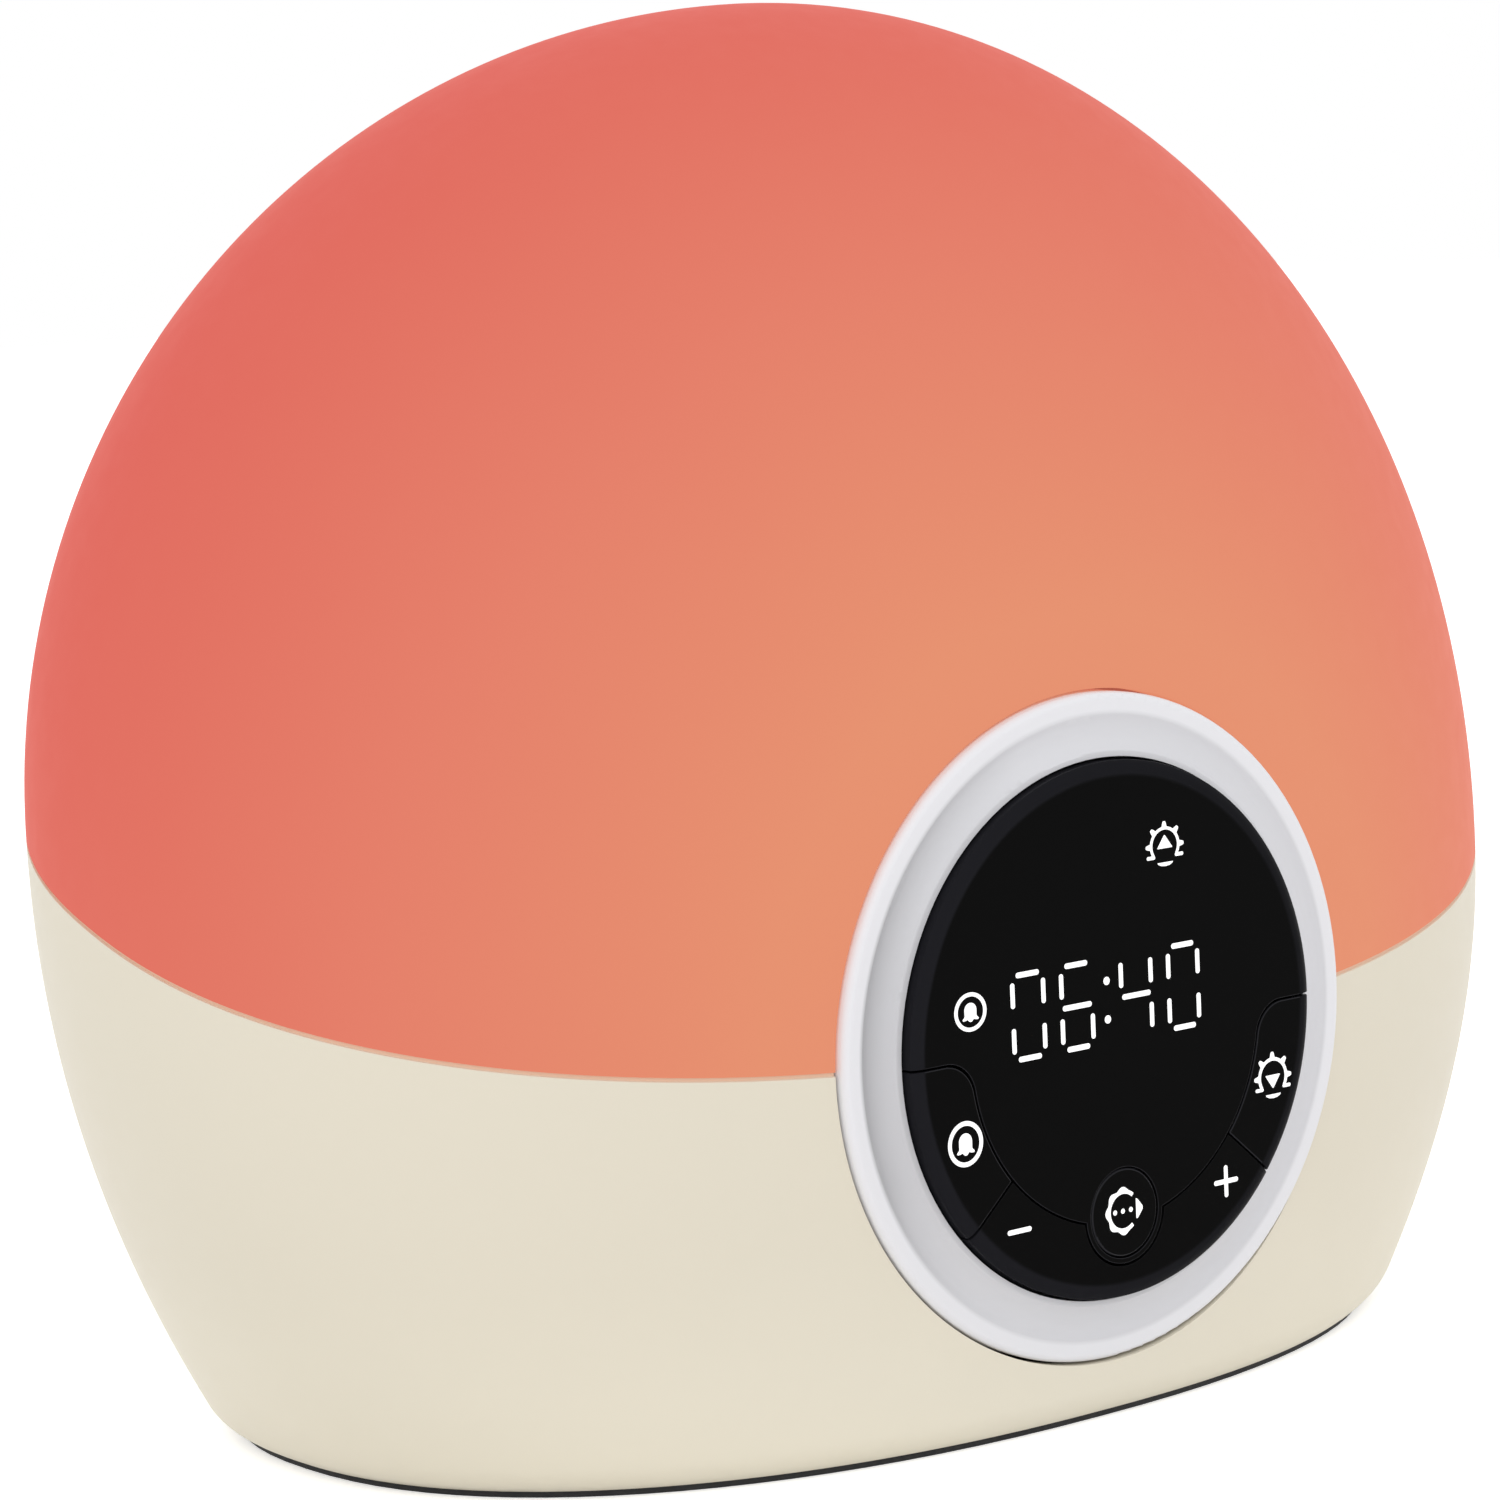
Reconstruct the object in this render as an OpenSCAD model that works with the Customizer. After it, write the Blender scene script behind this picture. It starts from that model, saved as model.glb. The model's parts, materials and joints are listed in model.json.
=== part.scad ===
// Sunrise alarm clock: a lit dome on a moulded housing, with a round control panel in front.
// Millimetres, +Z up. The origin is on the floor under the middle of the body.
// The front faces -Y, and +X is the clock's right side seen from the front.

/* [Body] */
// Overall width of the body at the seam
body_w = 190; // [155:1:230]
// Overall depth of the body at the seam
body_d = 106; // [100:1:128]
// Overall height, from the floor to the top of the dome
body_h = 156; // [130:1:188]
// Height of the seam between dome and housing, at mid depth
seam_z = 62; // [58:1:75]
// Slope of the seam in degrees, low at the front
seam_tilt = 20; // [14:1:22]
// Squareness of the seam's outline, where 2 is an ellipse
seam_power = 2.25; // [2:0.05:2.8]
// Distance of the dome's top behind the middle
apex_back = 2; // [0:1:8]
// Width of the outline at the floor
foot_w = 147; // [128:1:172]
// Depth of the outline at the floor
foot_d = 101; // [96:1:106]
// Squareness of the outline at the floor
foot_power = 2.25; // [2:0.05:2.5]
// Share of the housing's taper that is straight
side_draft = 0; // [0:0.01:0.4]
// How late the curved share of the taper comes
side_bow = 2; // [1.5:0.05:3]
// Radius of the housing's lower edge
foot_round = 4; // [3:0.5:6]
// Wall thickness of dome and housing
wall = 2.2; // [1.8:0.1:2.8]

/* [Control panel] */
// Diameter of the black disc
panel_d = 58.6; // [54:0.2:71]
// Width of the white ring round the disc
ring_w = 6.9; // [6.6:0.1:8.8]
// Height of the panel's centre above the floor
panel_z = 43.6; // [43:0.1:52]
// Lean of the panel in degrees, back at the top
panel_tilt = 0; // [0:0.5:3]
// How far the face stands ahead of the body's front
panel_proud = 0.7; // [0:0.1:2]
// Width of the face's rounded edge
panel_edge = 1.6; // [1:0.1:2]
// How far the rounded edge falls away from the face
edge_drop = 0.45; // [0.3:0.05:0.7]
// Level of the ring's lip behind the face
bezel_drop = 2.4; // [1.8:0.1:3]
// Level of the ring's inner edge behind the face
rim_drop = 1.45; // [1.2:0.05:1.8]
// Width of the ring's lip
lip_w = 2.3; // [1.6:0.1:2.6]
// Depth of the ring's dish
dish_depth = 0.9; // [0.6:0.05:1.2]
// Clearance round the ring, the keys and the disc
panel_gap = 0.3; // [0.2:0.05:0.4]

/* [Keys] */
// Inner radius of the band of keys
band_r = 21; // [20:0.1:22]
// Rounding of the band's two upper corners
band_corner = 4; // [2:0.5:5]
// Where the side keys end, in degrees below level
side_key_end = 41; // [36:1:44]
// Clearance between neighbouring keys
key_gap = 0.25; // [0.2:0.05:0.4]
// Travel of a pressed key
key_travel = 0.8; // [0.5:0.1:0.8]
// Diameter of the round light key
light_key_d = 9.7; // [8.7:0.1:10]
// Distance of the light key's centre below the panel's centre
light_key_drop = 20; // [19.5:0.1:20.5]
// Side keys' stem, in degrees below level
side_stem_angle = 20.5; // [18:0.5:23]
// Rocker's stems, in degrees below level
rocker_stem_angle = 51; // [50:0.5:53]
// Radius of the rocker's pivot pins
pivot_r = 0.8; // [0.7:0.05:1]
// Radial running clearance of the pivot pins
pivot_clearance = 0.06; // [0.03:0.01:0.1]

/* [Lamp] */
// Diameter of the lamp's board
lamp_d = 60; // [50:1:72]
// Number of lamp LEDs in the outer ring
lamp_count = 16; // [8:1:20]
// Distance of the lamp's centre behind the middle
lamp_back = 8; // [6:1:12]

/* [Electronics] */
// Width of the main board
main_w = 76; // [66:1:80]
// Depth of the main board
main_d = 60; // [52:1:62]
// Thickness of the circuit boards
board_t = 1.6; // [1:0.1:2]
// Bore of the power socket
jack_bore_d = 5.5; // [5.5:0.1:5.5]
// Diameter of the power socket's centre pin
jack_pin_d = 2.1; // [2.1:0.1:2.1]

/* [Hidden] */
$fn = 64;
eps = 0.01;

// Sampling of the dome and the housing
around = 96;
dome_steps = 17;
lining_steps = 12;
side_steps = 10;
round_steps = 4;

// Levels above the floor
foot_h = 0.8;
foot_strip_w = 4;
plate_t = 2.6;
label_w = 46;
label_d = 20;
plate_top = foot_h + plate_t;
plate_gap_z = 2.5;
main_z = 9;
seam_gap = 0.5;
tongue_h = 2.6;
tongue_t = 1.2;
tongue_gap = 0.2;
tongue_foot = 4;

// Depths behind the panel's face
cap_t = 1.8;
deck_depth = 6.2;
deck_t = 1.8;
skirt_depth = deck_depth - key_travel - 0.2;
skirt_t = 1.4;
board_depth = 11.4;
mat_t = 0.8;
stem_depth = 9;
barrel_depth = 13;
barrel_t = 1.6;
ear_t = 2;
pivot_depth = 3.6;

// Radii on the panel
panel_r = panel_d / 2;
bezel_r = panel_r + panel_gap + ring_w;
// Level of the panel, higher where a wide ring would reach the base plate
panel_level = max(panel_z, plate_top + bezel_r + plate_gap_z);
barrel_r = bezel_r - barrel_t;
board_r = barrel_r - 0.4;
boss_ring_r = barrel_r - 2.3;
collar_in_r = light_key_d / 2 + 0.15;
collar_r = collar_in_r + 0.6;
yoke_in_r = collar_r + panel_gap;
yoke_r = yoke_in_r + 1.5;
stem_r = 1.5;
stem_ring_r = (band_r + panel_r) / 2 - 0.4;
guide_r = 1;
stem_clearance = 0.15;
stem_gap = 0.4;
collar_foot_r = 2.3;
wing_r = 3;
wing_t = 1.2;

// Display module on the panel
display_at = [-1.8, 3.5];
display_size = [35.4, 13.4];
digit_pitch = 7;
pair_gap = 1.8;
indicator_at = [[-21.4, 5.1], [7.4, 19.4]];

// Fasteners
screw_r = 1.1;
pilot_r = 1.15;
screw_head_r = 2.1;
screw_head_h = 1.4;
boss_r = 3.4;
panel_boss_angles = [45, 135, 225, 315];
ear_angles = [200, 236, 304, 340];
ear_ring_r = bezel_r + 4.6;
ear_r = 3.2;

// Places inside the housing
base_boss_inset = 9;
base_boss_angles = [45, 135, 225, 315];
base_boss_h = 8;
base_recess = screw_head_h + 0.2;
web_t = 1.6;
post_inset = 24.5;
post_rear_inset = 31.5;
post_front_inset = 35.5;
post_r = 4;
tray_inset = 6.5;
tray_drop = 6;
tray_t = 2;
tray_gap = 11;
tray_front = (body_d / 2 + panel_proud - barrel_depth - tray_gap) / cos(seam_tilt);
fin_count = 7;
spreader_t = 1.5;
lamp_screw_r = lamp_d / 2 - 4;
lamp_screw_angles = [20, 160, 200, 340];
main_hole_inset = 4;
speaker_inset = 23.5;
speaker_at = [0, speaker_inset - foot_d / 2];
speaker_r = 10;
speaker_h = 5;
jack_w = 9;
jack_h = 11;
jack_len = 11;
jack_nose_r = 4.3;
jack_clearance = 0.3;
jack_axis_z = main_z + board_t + 6;
jack_mouth = 1.5;
jack_depth = 9.5;
jack_overhang = 9.5;
jack_face_y = wall_y(0, jack_axis_z, 1) - jack_mouth;
main_rear = jack_face_y - jack_overhang;
main_y = main_rear - main_d;
lamp_level = tray_t - tray_drop + spreader_t;
lead_hole_r = 1.6;
main_top = main_z + board_t;
ribbon_x = 12;
ribbon_w = 10;
header_h = 5;
main_header_y = main_y + 5;
display_header_v = -8;
lead_header_at = [-22, main_y + 8];

// ---------- Outlines and frames ----------

// A number to a power, with its sign kept
function signed_pow(v, e) = sign(v) * pow(abs(v), e);

// Point at angle a of a rounded oblong
function oval(a, w, d, power) =
    [w / 2 * signed_pow(cos(a), 2 / power), d / 2 * signed_pow(sin(a), 2 / power)];

// Outlines of the body at the seam and at the floor, moved inwards by inset
function seam_pt(a, inset) = oval(a, body_w - 2 * inset, body_d - 2 * inset, seam_power);
function foot_pt(a, inset) = oval(a, foot_w - 2 * inset, foot_d - 2 * inset, foot_power);

// Height of the sloping seam at depth y
function seam_height(y) = seam_z + y * tan(seam_tilt);

// Point of the dome: t runs from 0 at the seam to 90 at the top
function dome_pt(a, t, inset, lift = 0) =
    let (p = seam_pt(a, inset), z = seam_height(p.y) + lift)
    [
        p.x * cos(t),
        p.y * cos(t) + apex_back * (1 - cos(t)),
        z + (body_h - inset - z) * sin(t)
    ];

// How far the rounded lower edge has drawn in at height z
function edge_inset(z) =
    z >= foot_round ? 0 : foot_round - sqrt(pow(foot_round, 2) - pow(foot_round - z, 2));

// Share of the way from the floor's outline to the seam's outline
function spread(drop) =
    1 - side_draft * drop - (1 - side_draft) * pow(max(drop, 0), side_bow);

// Point of the housing's side at height z
function side_pt(a, z, inset) =
    let (
        in = inset + edge_inset(z),
        s = seam_pt(a, in),
        f = foot_pt(a, in),
        k = spread(1 - z / seam_height(s.y))
    )
    [f.x + (s.x - f.x) * k, f.y + (s.y - f.y) * k, z];

// Ring of the housing's side: k runs from 0 at the seam to 1 where the lower edge starts
function side_ring(k, inset) = [
    for (i = [0 : around - 1])
        let (a = 360 * i / around, top = seam_height(seam_pt(a, inset).y))
        side_pt(a, top + (foot_round - top) * k, inset)
];

// Ring of the seam's outline, lifted off the seam
function seam_ring(inset, lift) = [
    for (i = [0 : around - 1])
        let (p = seam_pt(360 * i / around, inset))
        [p.x, p.y, seam_height(p.y) + lift]
];

// Ring of the housing at one height
function level_ring(z, inset) = [for (i = [0 : around - 1]) side_pt(360 * i / around, z, inset)];

// Levels down the rounded lower edge
function round_level(k) = foot_round - (foot_round - foot_h) * k / round_steps;

// Ring of the dome
function dome_ring(t, inset, lift) =
    [for (i = [0 : around - 1]) dome_pt(360 * i / around, t, inset, lift)];

// Distance of the housing's wall from the middle at x and z: side is -1 in front and 1 behind
function wall_y(x, z, side) =
    let (
        k = spread(1 - z / seam_height(side * body_d / 2)),
        w = foot_w + (body_w - foot_w) * k,
        d = foot_d + (body_d - foot_d) * k,
        power = foot_power + (seam_power - foot_power) * k
    )
    d / 2 * pow(1 - pow(abs(2 * x / w), power), 1 / power);

// Triangles between ring j and ring k of a list of rings
function band_faces(j, k) = [
    for (i = [0 : around - 1], h = [0, 1])
        let (a = j * around + i, b = j * around + (i + 1) % around)
        let (c = k * around + i, d = k * around + (i + 1) % around)
        h == 0 ? [a, b, c] : [b, d, c]
];

// Triangles from ring j to the single point p
function fan_faces(j, p) =
    [for (i = [0 : around - 1]) [j * around + i, j * around + (i + 1) % around, p]];

function reversed(faces) = [for (f = faces) [f[2], f[1], f[0]]];
function flat(lists) = [for (l = lists, v = l) v];

// Solid whose rings follow each other and close up again
module ring_loop(rings) {
    n = len(rings);
    polyhedron(flat(rings), flat([for (j = [0 : n - 1]) band_faces(j, (j + 1) % n)]));
}

// Hollow cap: outer rings to an outer tip, inner rings to an inner tip
module hollow_cap(outer, inner, outer_tip, inner_tip) {
    m = len(outer);
    n = len(inner);
    tip = (m + n) * around;
    polyhedron(
        concat(flat(outer), flat(inner), [outer_tip, inner_tip]),
        concat(
            reversed(flat([for (j = [0 : m - 2]) band_faces(j, j + 1)])),
            reversed(fan_faces(m - 1, tip)),
            flat([for (j = [0 : n - 2]) band_faces(m + j, m + j + 1)]),
            fan_faces(m + n - 1, tip + 1),
            band_faces(0, m)
        )
    );
}

// Frame of the panel: x right, y up the panel, z out of its face
module on_panel() {
    translate([0, -body_d / 2 - panel_proud, panel_level]) rotate([90 - panel_tilt, 0, 0]) children();
}

// Frame of the seam: z square to the seam's plane
module on_seam() {
    translate([0, 0, seam_z]) rotate([seam_tilt, 0, 0]) children();
}

// Hole through the body for the panel
module panel_opening() {
    on_panel() translate([0, 0, -barrel_depth - 4])
        cylinder(r = bezel_r + panel_gap, h = barrel_depth + 24, $fn = 96);
}

// Pan-head screw: its head stands on z = 0 and its shank goes down
module screw(length) {
    cylinder(r = screw_head_r, h = screw_head_h);
    translate([0, 0, -length]) cylinder(r = screw_r, h = length + eps);
}

// ---------- Shells ----------

module diffuser_dome() {
    color([0.91, 0.50, 0.40])
    difference() {
        hollow_cap(
            [for (k = [0 : dome_steps - 1]) dome_ring(90 * k / dome_steps, 0, seam_gap)],
            [for (k = [0 : lining_steps - 1]) dome_ring(90 * k / lining_steps, wall, seam_gap)],
            [0, apex_back, body_h],
            [0, apex_back, body_h - wall]
        );
        panel_opening();
    }
}

module base_housing() {
    color([0.90, 0.87, 0.79])
    difference() {
        union() {
            ring_loop(concat(
                [for (k = [0 : side_steps - 1]) side_ring(k / side_steps, 0)],
                [for (k = [0 : round_steps]) level_ring(round_level(k), 0)],
                [for (k = [round_steps : -1 : 0]) level_ring(round_level(k), wall)],
                [for (k = [side_steps - 1 : -1 : 0]) side_ring(k / side_steps, wall)]
            ));
            for (a = base_boss_angles) base_boss(a);
            for (a = ear_angles) ear_boss(a);
            rim_tongue();
        }
        panel_opening();
        for (a = base_boss_angles) {
            p = foot_pt(a, base_boss_inset);
            translate([p.x, p.y, plate_top - eps]) cylinder(r = pilot_r, h = base_boss_h - 1);
        }
        for (a = ear_angles) on_panel() {
            ear_place(a) translate([0, 0, -barrel_depth]) cylinder(r = pilot_r, h = 4.4);
            rotate(a) translate([0, 0, -barrel_depth - 0.4]) linear_extrude(ear_t + 0.4) ear_outline(0.3);
        }
        translate([0, 0, jack_axis_z]) rotate([-90, 0, 0])
            cylinder(r = jack_nose_r + jack_clearance, h = body_d);
    }
}

// Screw boss at the housing's lower edge, with a web that follows the wall
module base_boss(a) {
    steps = 3;
    p = foot_pt(a, base_boss_inset);
    wall_pts = [for (k = [0 : steps]) side_pt(a, plate_top + base_boss_h * k / steps, wall / 2)];
    out = wall_pts[1] - [p.x, p.y, 0];
    translate([p.x, p.y, plate_top]) {
        cylinder(r = boss_r, h = base_boss_h);
        rotate([90, 0, atan2(out.y, out.x)]) translate([0, 0, -web_t / 2]) linear_extrude(web_t)
            polygon(concat(
                [[0, 0]],
                [for (q = wall_pts) [norm([q.x - p.x, q.y - p.y]), q.z - plate_top]],
                [[0, base_boss_h]]
            ));
    }
}

// Tongue on the housing's rim that centres the dome from inside
module rim_tongue() {
    inner = wall + tongue_gap + tongue_t;
    ring_loop([
        seam_ring(wall + tongue_gap, tongue_h),
        seam_ring(wall + tongue_gap, -0.4),
        seam_ring(wall - 0.4, -0.4),
        seam_ring(wall - 0.4, -tongue_foot),
        seam_ring(inner, -tongue_foot + 1.6),
        seam_ring(inner, tongue_h)
    ]);
}

module ear_place(a) {
    translate([ear_ring_r * cos(a), ear_ring_r * sin(a), 0]) children();
}

// Boss on the housing's front wall that takes a screw of the ring
module ear_boss(a) {
    x = ear_ring_r * cos(a);
    y = ear_ring_r * sin(a);
    start = body_d / 2 + panel_proud - wall_y(abs(x) + boss_r * 0.8, panel_level + y - boss_r * 0.8, -1) + 1;
    on_panel() translate([x, y, ear_t - barrel_depth])
        cylinder(r = boss_r, h = barrel_depth - ear_t - start);
}

// Thin ring that closes the seam against light
module seam_gasket() {
    edge = 0.3;
    color([0.93, 0.80, 0.72])
    difference() {
        ring_loop([
            seam_ring(edge, seam_gap),
            seam_ring(edge, 0),
            seam_ring(wall, 0),
            seam_ring(wall, seam_gap)
        ]);
        panel_opening();
    }
}

// Outline of the underside, moved inwards from the housing's wall
module under_outline(inset) {
    polygon([for (p = level_ring(foot_h, inset)) [p.x, p.y]]);
}

module base_plate() {
    color([0.20, 0.20, 0.21])
    difference() {
        union() {
            translate([0, 0, foot_h]) linear_extrude(plate_t) under_outline(wall + 0.3);
            for (p = post_places()) tray_post(p);
            for (p = main_holes()) translate([p.x, p.y, plate_top - eps])
                cylinder(r = boss_r, h = main_z - plate_top + eps);
            translate([speaker_at.x, speaker_at.y, plate_top - eps]) difference() {
                cylinder(r = speaker_r + 1.5, h = 2.5);
                translate([0, 0, -1]) cylinder(r = speaker_r + 0.2, h = 4);
            }
            plate_ribs();
        }
        for (a = base_boss_angles) {
            p = foot_pt(a, base_boss_inset);
            translate([p.x, p.y, foot_h - 1]) cylinder(r = screw_r + 0.2, h = plate_t + 2);
            translate([p.x, p.y, foot_h - 1]) cylinder(r = screw_head_r + 0.3, h = base_recess + 1);
        }
        for (p = main_holes()) translate([p.x, p.y, main_z - 5]) cylinder(r = pilot_r, h = 6);
        for (i = [-2 : 2]) translate([speaker_at.x + 3 * i - 0.75, speaker_at.y - 6, 0])
            cube([1.5, 12, plate_top + 1]);
        translate([-label_w / 2, main_y + main_d / 2, foot_h - 1]) cube([label_w, label_d, 1.4]);
    }
}

// Stiffening ribs of the plate under the main board, tied to the board's bosses
module plate_ribs() {
    rib_t = 1.4;
    rib_h = 3.2;
    x = main_w / 2 - main_hole_inset;
    y = main_y + main_hole_inset;
    reach = main_d - 2 * main_hole_inset;
    for (s = [-1, 1]) translate([s * x - rib_t / 2, y, plate_top - eps]) cube([rib_t, reach, rib_h]);
    for (k = [0.5, 1]) translate([-x, y + k * reach - rib_t / 2, plate_top - eps])
        cube([2 * x, rib_t, rib_h]);
    translate([-rib_t / 2, y + reach / 2, plate_top - eps]) cube([rib_t, reach / 2, rib_h]);
}

// Axes of the four posts under the lamp's tray
function post_places() = [
    for (s = [-1, 1], y = [foot_d / 2 - post_rear_inset, post_front_inset - foot_d / 2])
        [s * (foot_w / 2 - post_inset), y]
];

// Post of the base plate that carries the lamp's tray
module tray_post(p) {
    difference() {
        translate([p.x, p.y, plate_top - eps]) cylinder(r = post_r, h = body_h / 2);
        on_seam() translate([-body_w, -body_w, -tray_drop]) cube(2 * body_w);
        on_seam() post_place(p) translate([0, 0, -tray_drop - 7]) cylinder(r = pilot_r, h = 8);
    }
}

// Place of a post's axis where it meets the tray's underside
module post_place(p) {
    translate([p.x, p.y / cos(seam_tilt) - tray_drop * tan(seam_tilt), 0]) children();
}

// Rubber strip that the clock stands on
module foot_ring() {
    color([0.10, 0.10, 0.10])
    linear_extrude(foot_h) difference() {
        under_outline(0.4);
        under_outline(0.4 + foot_strip_w);
    }
}

// ---------- Control panel ----------

// White ring round the disc, with a dished face, a barrel and four ears
module bezel_ring() {
    inner_r = panel_r + panel_gap;
    rim_w = 0.5;
    lip_round = 0.9;
    lip = [bezel_r - lip_w, -bezel_drop];
    rim = [inner_r + rim_w, -rim_drop];
    across = (lip - rim) / norm(lip - rim);
    dish_r = (pow(norm(lip - rim) / 2, 2) + pow(dish_depth, 2)) / (2 * dish_depth);
    dish_at = (lip + rim) / 2 + (dish_r - dish_depth) * [-across.y, across.x];
    color([0.91, 0.91, 0.93])
    on_panel() difference() {
        union() {
            rotate_extrude($fn = 96) difference() {
                polygon([
                    [inner_r, -barrel_depth],
                    [bezel_r, -barrel_depth],
                    [bezel_r, -bezel_drop],
                    lip,
                    rim,
                    [inner_r, -rim_drop]
                ]);
                translate([inner_r - 1, -barrel_depth - 1])
                    square([barrel_r - inner_r + 1, barrel_depth - deck_depth + 1]);
                translate(dish_at) circle(dish_r);
                translate([bezel_r - lip_round, -bezel_drop - lip_round]) difference() {
                    square(lip_round + 1);
                    circle(lip_round);
                }
            }
            for (a = panel_boss_angles) rotate(a) translate([boss_ring_r, 0, -board_depth])
                cylinder(r = 2.6, h = board_depth - deck_depth + 0.3);
            for (a = ear_angles) bezel_ear(a);
        }
        for (a = panel_boss_angles) rotate(a) translate([boss_ring_r, 0, -board_depth - 1])
            cylinder(r = pilot_r, h = 5);
    }
}

// Flat ear on the barrel's rear end, with its screw hole
module bezel_ear(a) {
    rotate(a) translate([0, 0, -barrel_depth]) linear_extrude(ear_t) difference() {
        ear_outline(0);
        translate([ear_ring_r, 0]) circle(screw_r + 0.2);
    }
}

// Outline of an ear, grown by a clearance
module ear_outline(clear) {
    half = ear_r * 0.8 + clear;
    translate([ear_ring_r, 0]) circle(ear_r + clear);
    translate([barrel_r + barrel_t / 2, -half]) square([ear_ring_r - barrel_r - barrel_t / 2, 2 * half]);
}

// Revolved blank of the disc with its rounded edge, from the face down to depth
module disc_blank(depth) {
    flat_r = panel_r - panel_edge;
    arc_r = (pow(panel_edge, 2) + pow(edge_drop, 2)) / (2 * edge_drop);
    translate([0, 0, -depth]) rotate_extrude($fn = 96) {
        square([flat_r, depth]);
        intersection() {
            translate([flat_r - eps, 0]) square([panel_edge + eps, depth]);
            translate([flat_r, depth - arc_r]) circle(arc_r);
        }
    }
}

// Tube wall between two radii and two depths behind the face
module tube(r_in, r_out, from, to) {
    translate([0, 0, -to]) difference() {
        cylinder(r = r_out, h = to - from, $fn = 96);
        translate([0, 0, -1]) cylinder(r = r_in, h = to - from + 2, $fn = 96);
    }
}

// Outline of the band of keys: the lower half outside radius r, with rounded upper corners
module band_outline(r, top, corner) {
    reach = sqrt(pow(r + corner, 2) - pow(corner - top, 2));
    touch = r / (r + corner);
    difference() {
        translate([-panel_r - 2, -panel_r - 2]) square([2 * panel_r + 4, panel_r + 2 + top]);
        circle(r, $fn = 96);
        for (s = [-1, 1]) difference() {
            polygon([
                [s * reach, top],
                [s * (r - 1), top],
                [s * (r - 1), (top - corner) * touch],
                [s * reach * touch, (top - corner) * touch],
                [s * reach, top - corner]
            ]);
            translate([s * reach, top - corner]) circle(corner);
        }
    }
}

// Wedge of the panel between two angles, each moved inwards by a gap
module wedge(from, to, gap) {
    far = 3 * panel_r;
    mid = (from + to) / 2;
    start = gap / 2 / sin((to - from) / 2);
    translate([start * cos(mid), start * sin(mid)]) polygon([
        [0, 0],
        [far * cos(from), far * sin(from)],
        [far * cos(mid), far * sin(mid)],
        [far * cos(to), far * sin(to)]
    ]);
}

module at_angle(r, a) {
    translate([r * cos(a), r * sin(a), 0]) children();
}

module at_light_key() {
    translate([0, -light_key_drop, 0]) children();
}

// Stem of a key, from its cap down to a depth
module key_stem(r, to) {
    translate([0, 0, -to]) cylinder(r = r, h = to - cap_t + eps);
}

// Collar at a stem's foot: it rests on the deck's rear face and keeps the key in
module stem_collar() {
    translate([0, 0, -stem_depth]) cylinder(r = collar_foot_r, h = stem_depth - deck_depth - deck_t - 0.1);
}

// Cross-section of the light key's stem, whose wings keep the key from turning
module winged_stem(clear) {
    circle(stem_r + clear);
    square([2 * (wing_r + clear), 2 * (wing_t / 2 + clear)], center = true);
}

// Glossy front of the display, with the light key's collar and the rocker's pivot pins
module display_window() {
    color([0.06, 0.06, 0.07])
    on_panel() difference() {
        union() {
            intersection() {
                union() {
                    disc_blank(cap_t);
                    intersection() {
                        disc_blank(deck_depth);
                        tube(panel_r - skirt_t, panel_r + 1, cap_t - 0.5, deck_depth);
                    }
                }
                translate([0, 0, -deck_depth - 1]) linear_extrude(deck_depth + 2) difference() {
                    circle(panel_r + 2, $fn = 96);
                    band_outline(band_r, 0, band_corner);
                }
            }
            intersection() {
                tube(band_r - 1.5, band_r - 0.1, cap_t - eps, deck_depth);
                translate([-panel_r, -panel_r, -deck_depth - 1])
                    cube([2 * panel_r, panel_r - band_corner, deck_depth + 1]);
                difference() {
                    translate([-panel_r, -panel_r, -deck_depth - 1]) cube([2 * panel_r, 2 * panel_r, 9]);
                    translate([-yoke_r - 1.5, -panel_r, -deck_depth - 1]) cube([2 * yoke_r + 3, panel_r, 9]);
                }
            }
            at_light_key() {
                tube(collar_in_r, collar_r, 0, deck_depth);
                for (s = [-1, 1]) translate([0, s * (collar_r - 0.3), -pivot_depth])
                    rotate([-90 * s, 0, 0]) cylinder(r = pivot_r, h = yoke_r - collar_r + 0.1);
            }
        }
        at_light_key() translate([0, 0, -deck_depth - 1]) cylinder(r = collar_in_r, h = deck_depth + 2);
    }
}

// Cap and skirt of a key in the band, between two angles
module band_key(from, to) {
    intersection() {
        union() {
            disc_blank(cap_t);
            intersection() {
                disc_blank(skirt_depth);
                tube(panel_r - skirt_t, panel_r + 1, cap_t - 0.5, skirt_depth);
            }
        }
        translate([0, 0, -deck_depth]) linear_extrude(deck_depth + 1) intersection() {
            band_outline(band_r + key_gap, -key_gap, band_corner);
            wedge(from, to, key_gap);
        }
    }
}

// Side key: side is -1 on the left and 1 on the right
module side_key(side) {
    on_panel() mirror([side < 0 ? 1 : 0, 0, 0]) {
        band_key(-side_key_end, 60);
        at_angle(stem_ring_r, -side_stem_angle) {
            key_stem(stem_r, stem_depth);
            stem_collar();
        }
        for (a = [7.5, side_key_end - 7]) at_angle(stem_ring_r, -a)
            key_stem(guide_r, deck_depth + deck_t + 0.4);
    }
}

module alarm_key() {
    color([0.07, 0.07, 0.08]) side_key(-1);
}

module sunset_key() {
    color([0.07, 0.07, 0.08]) side_key(1);
}

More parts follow.
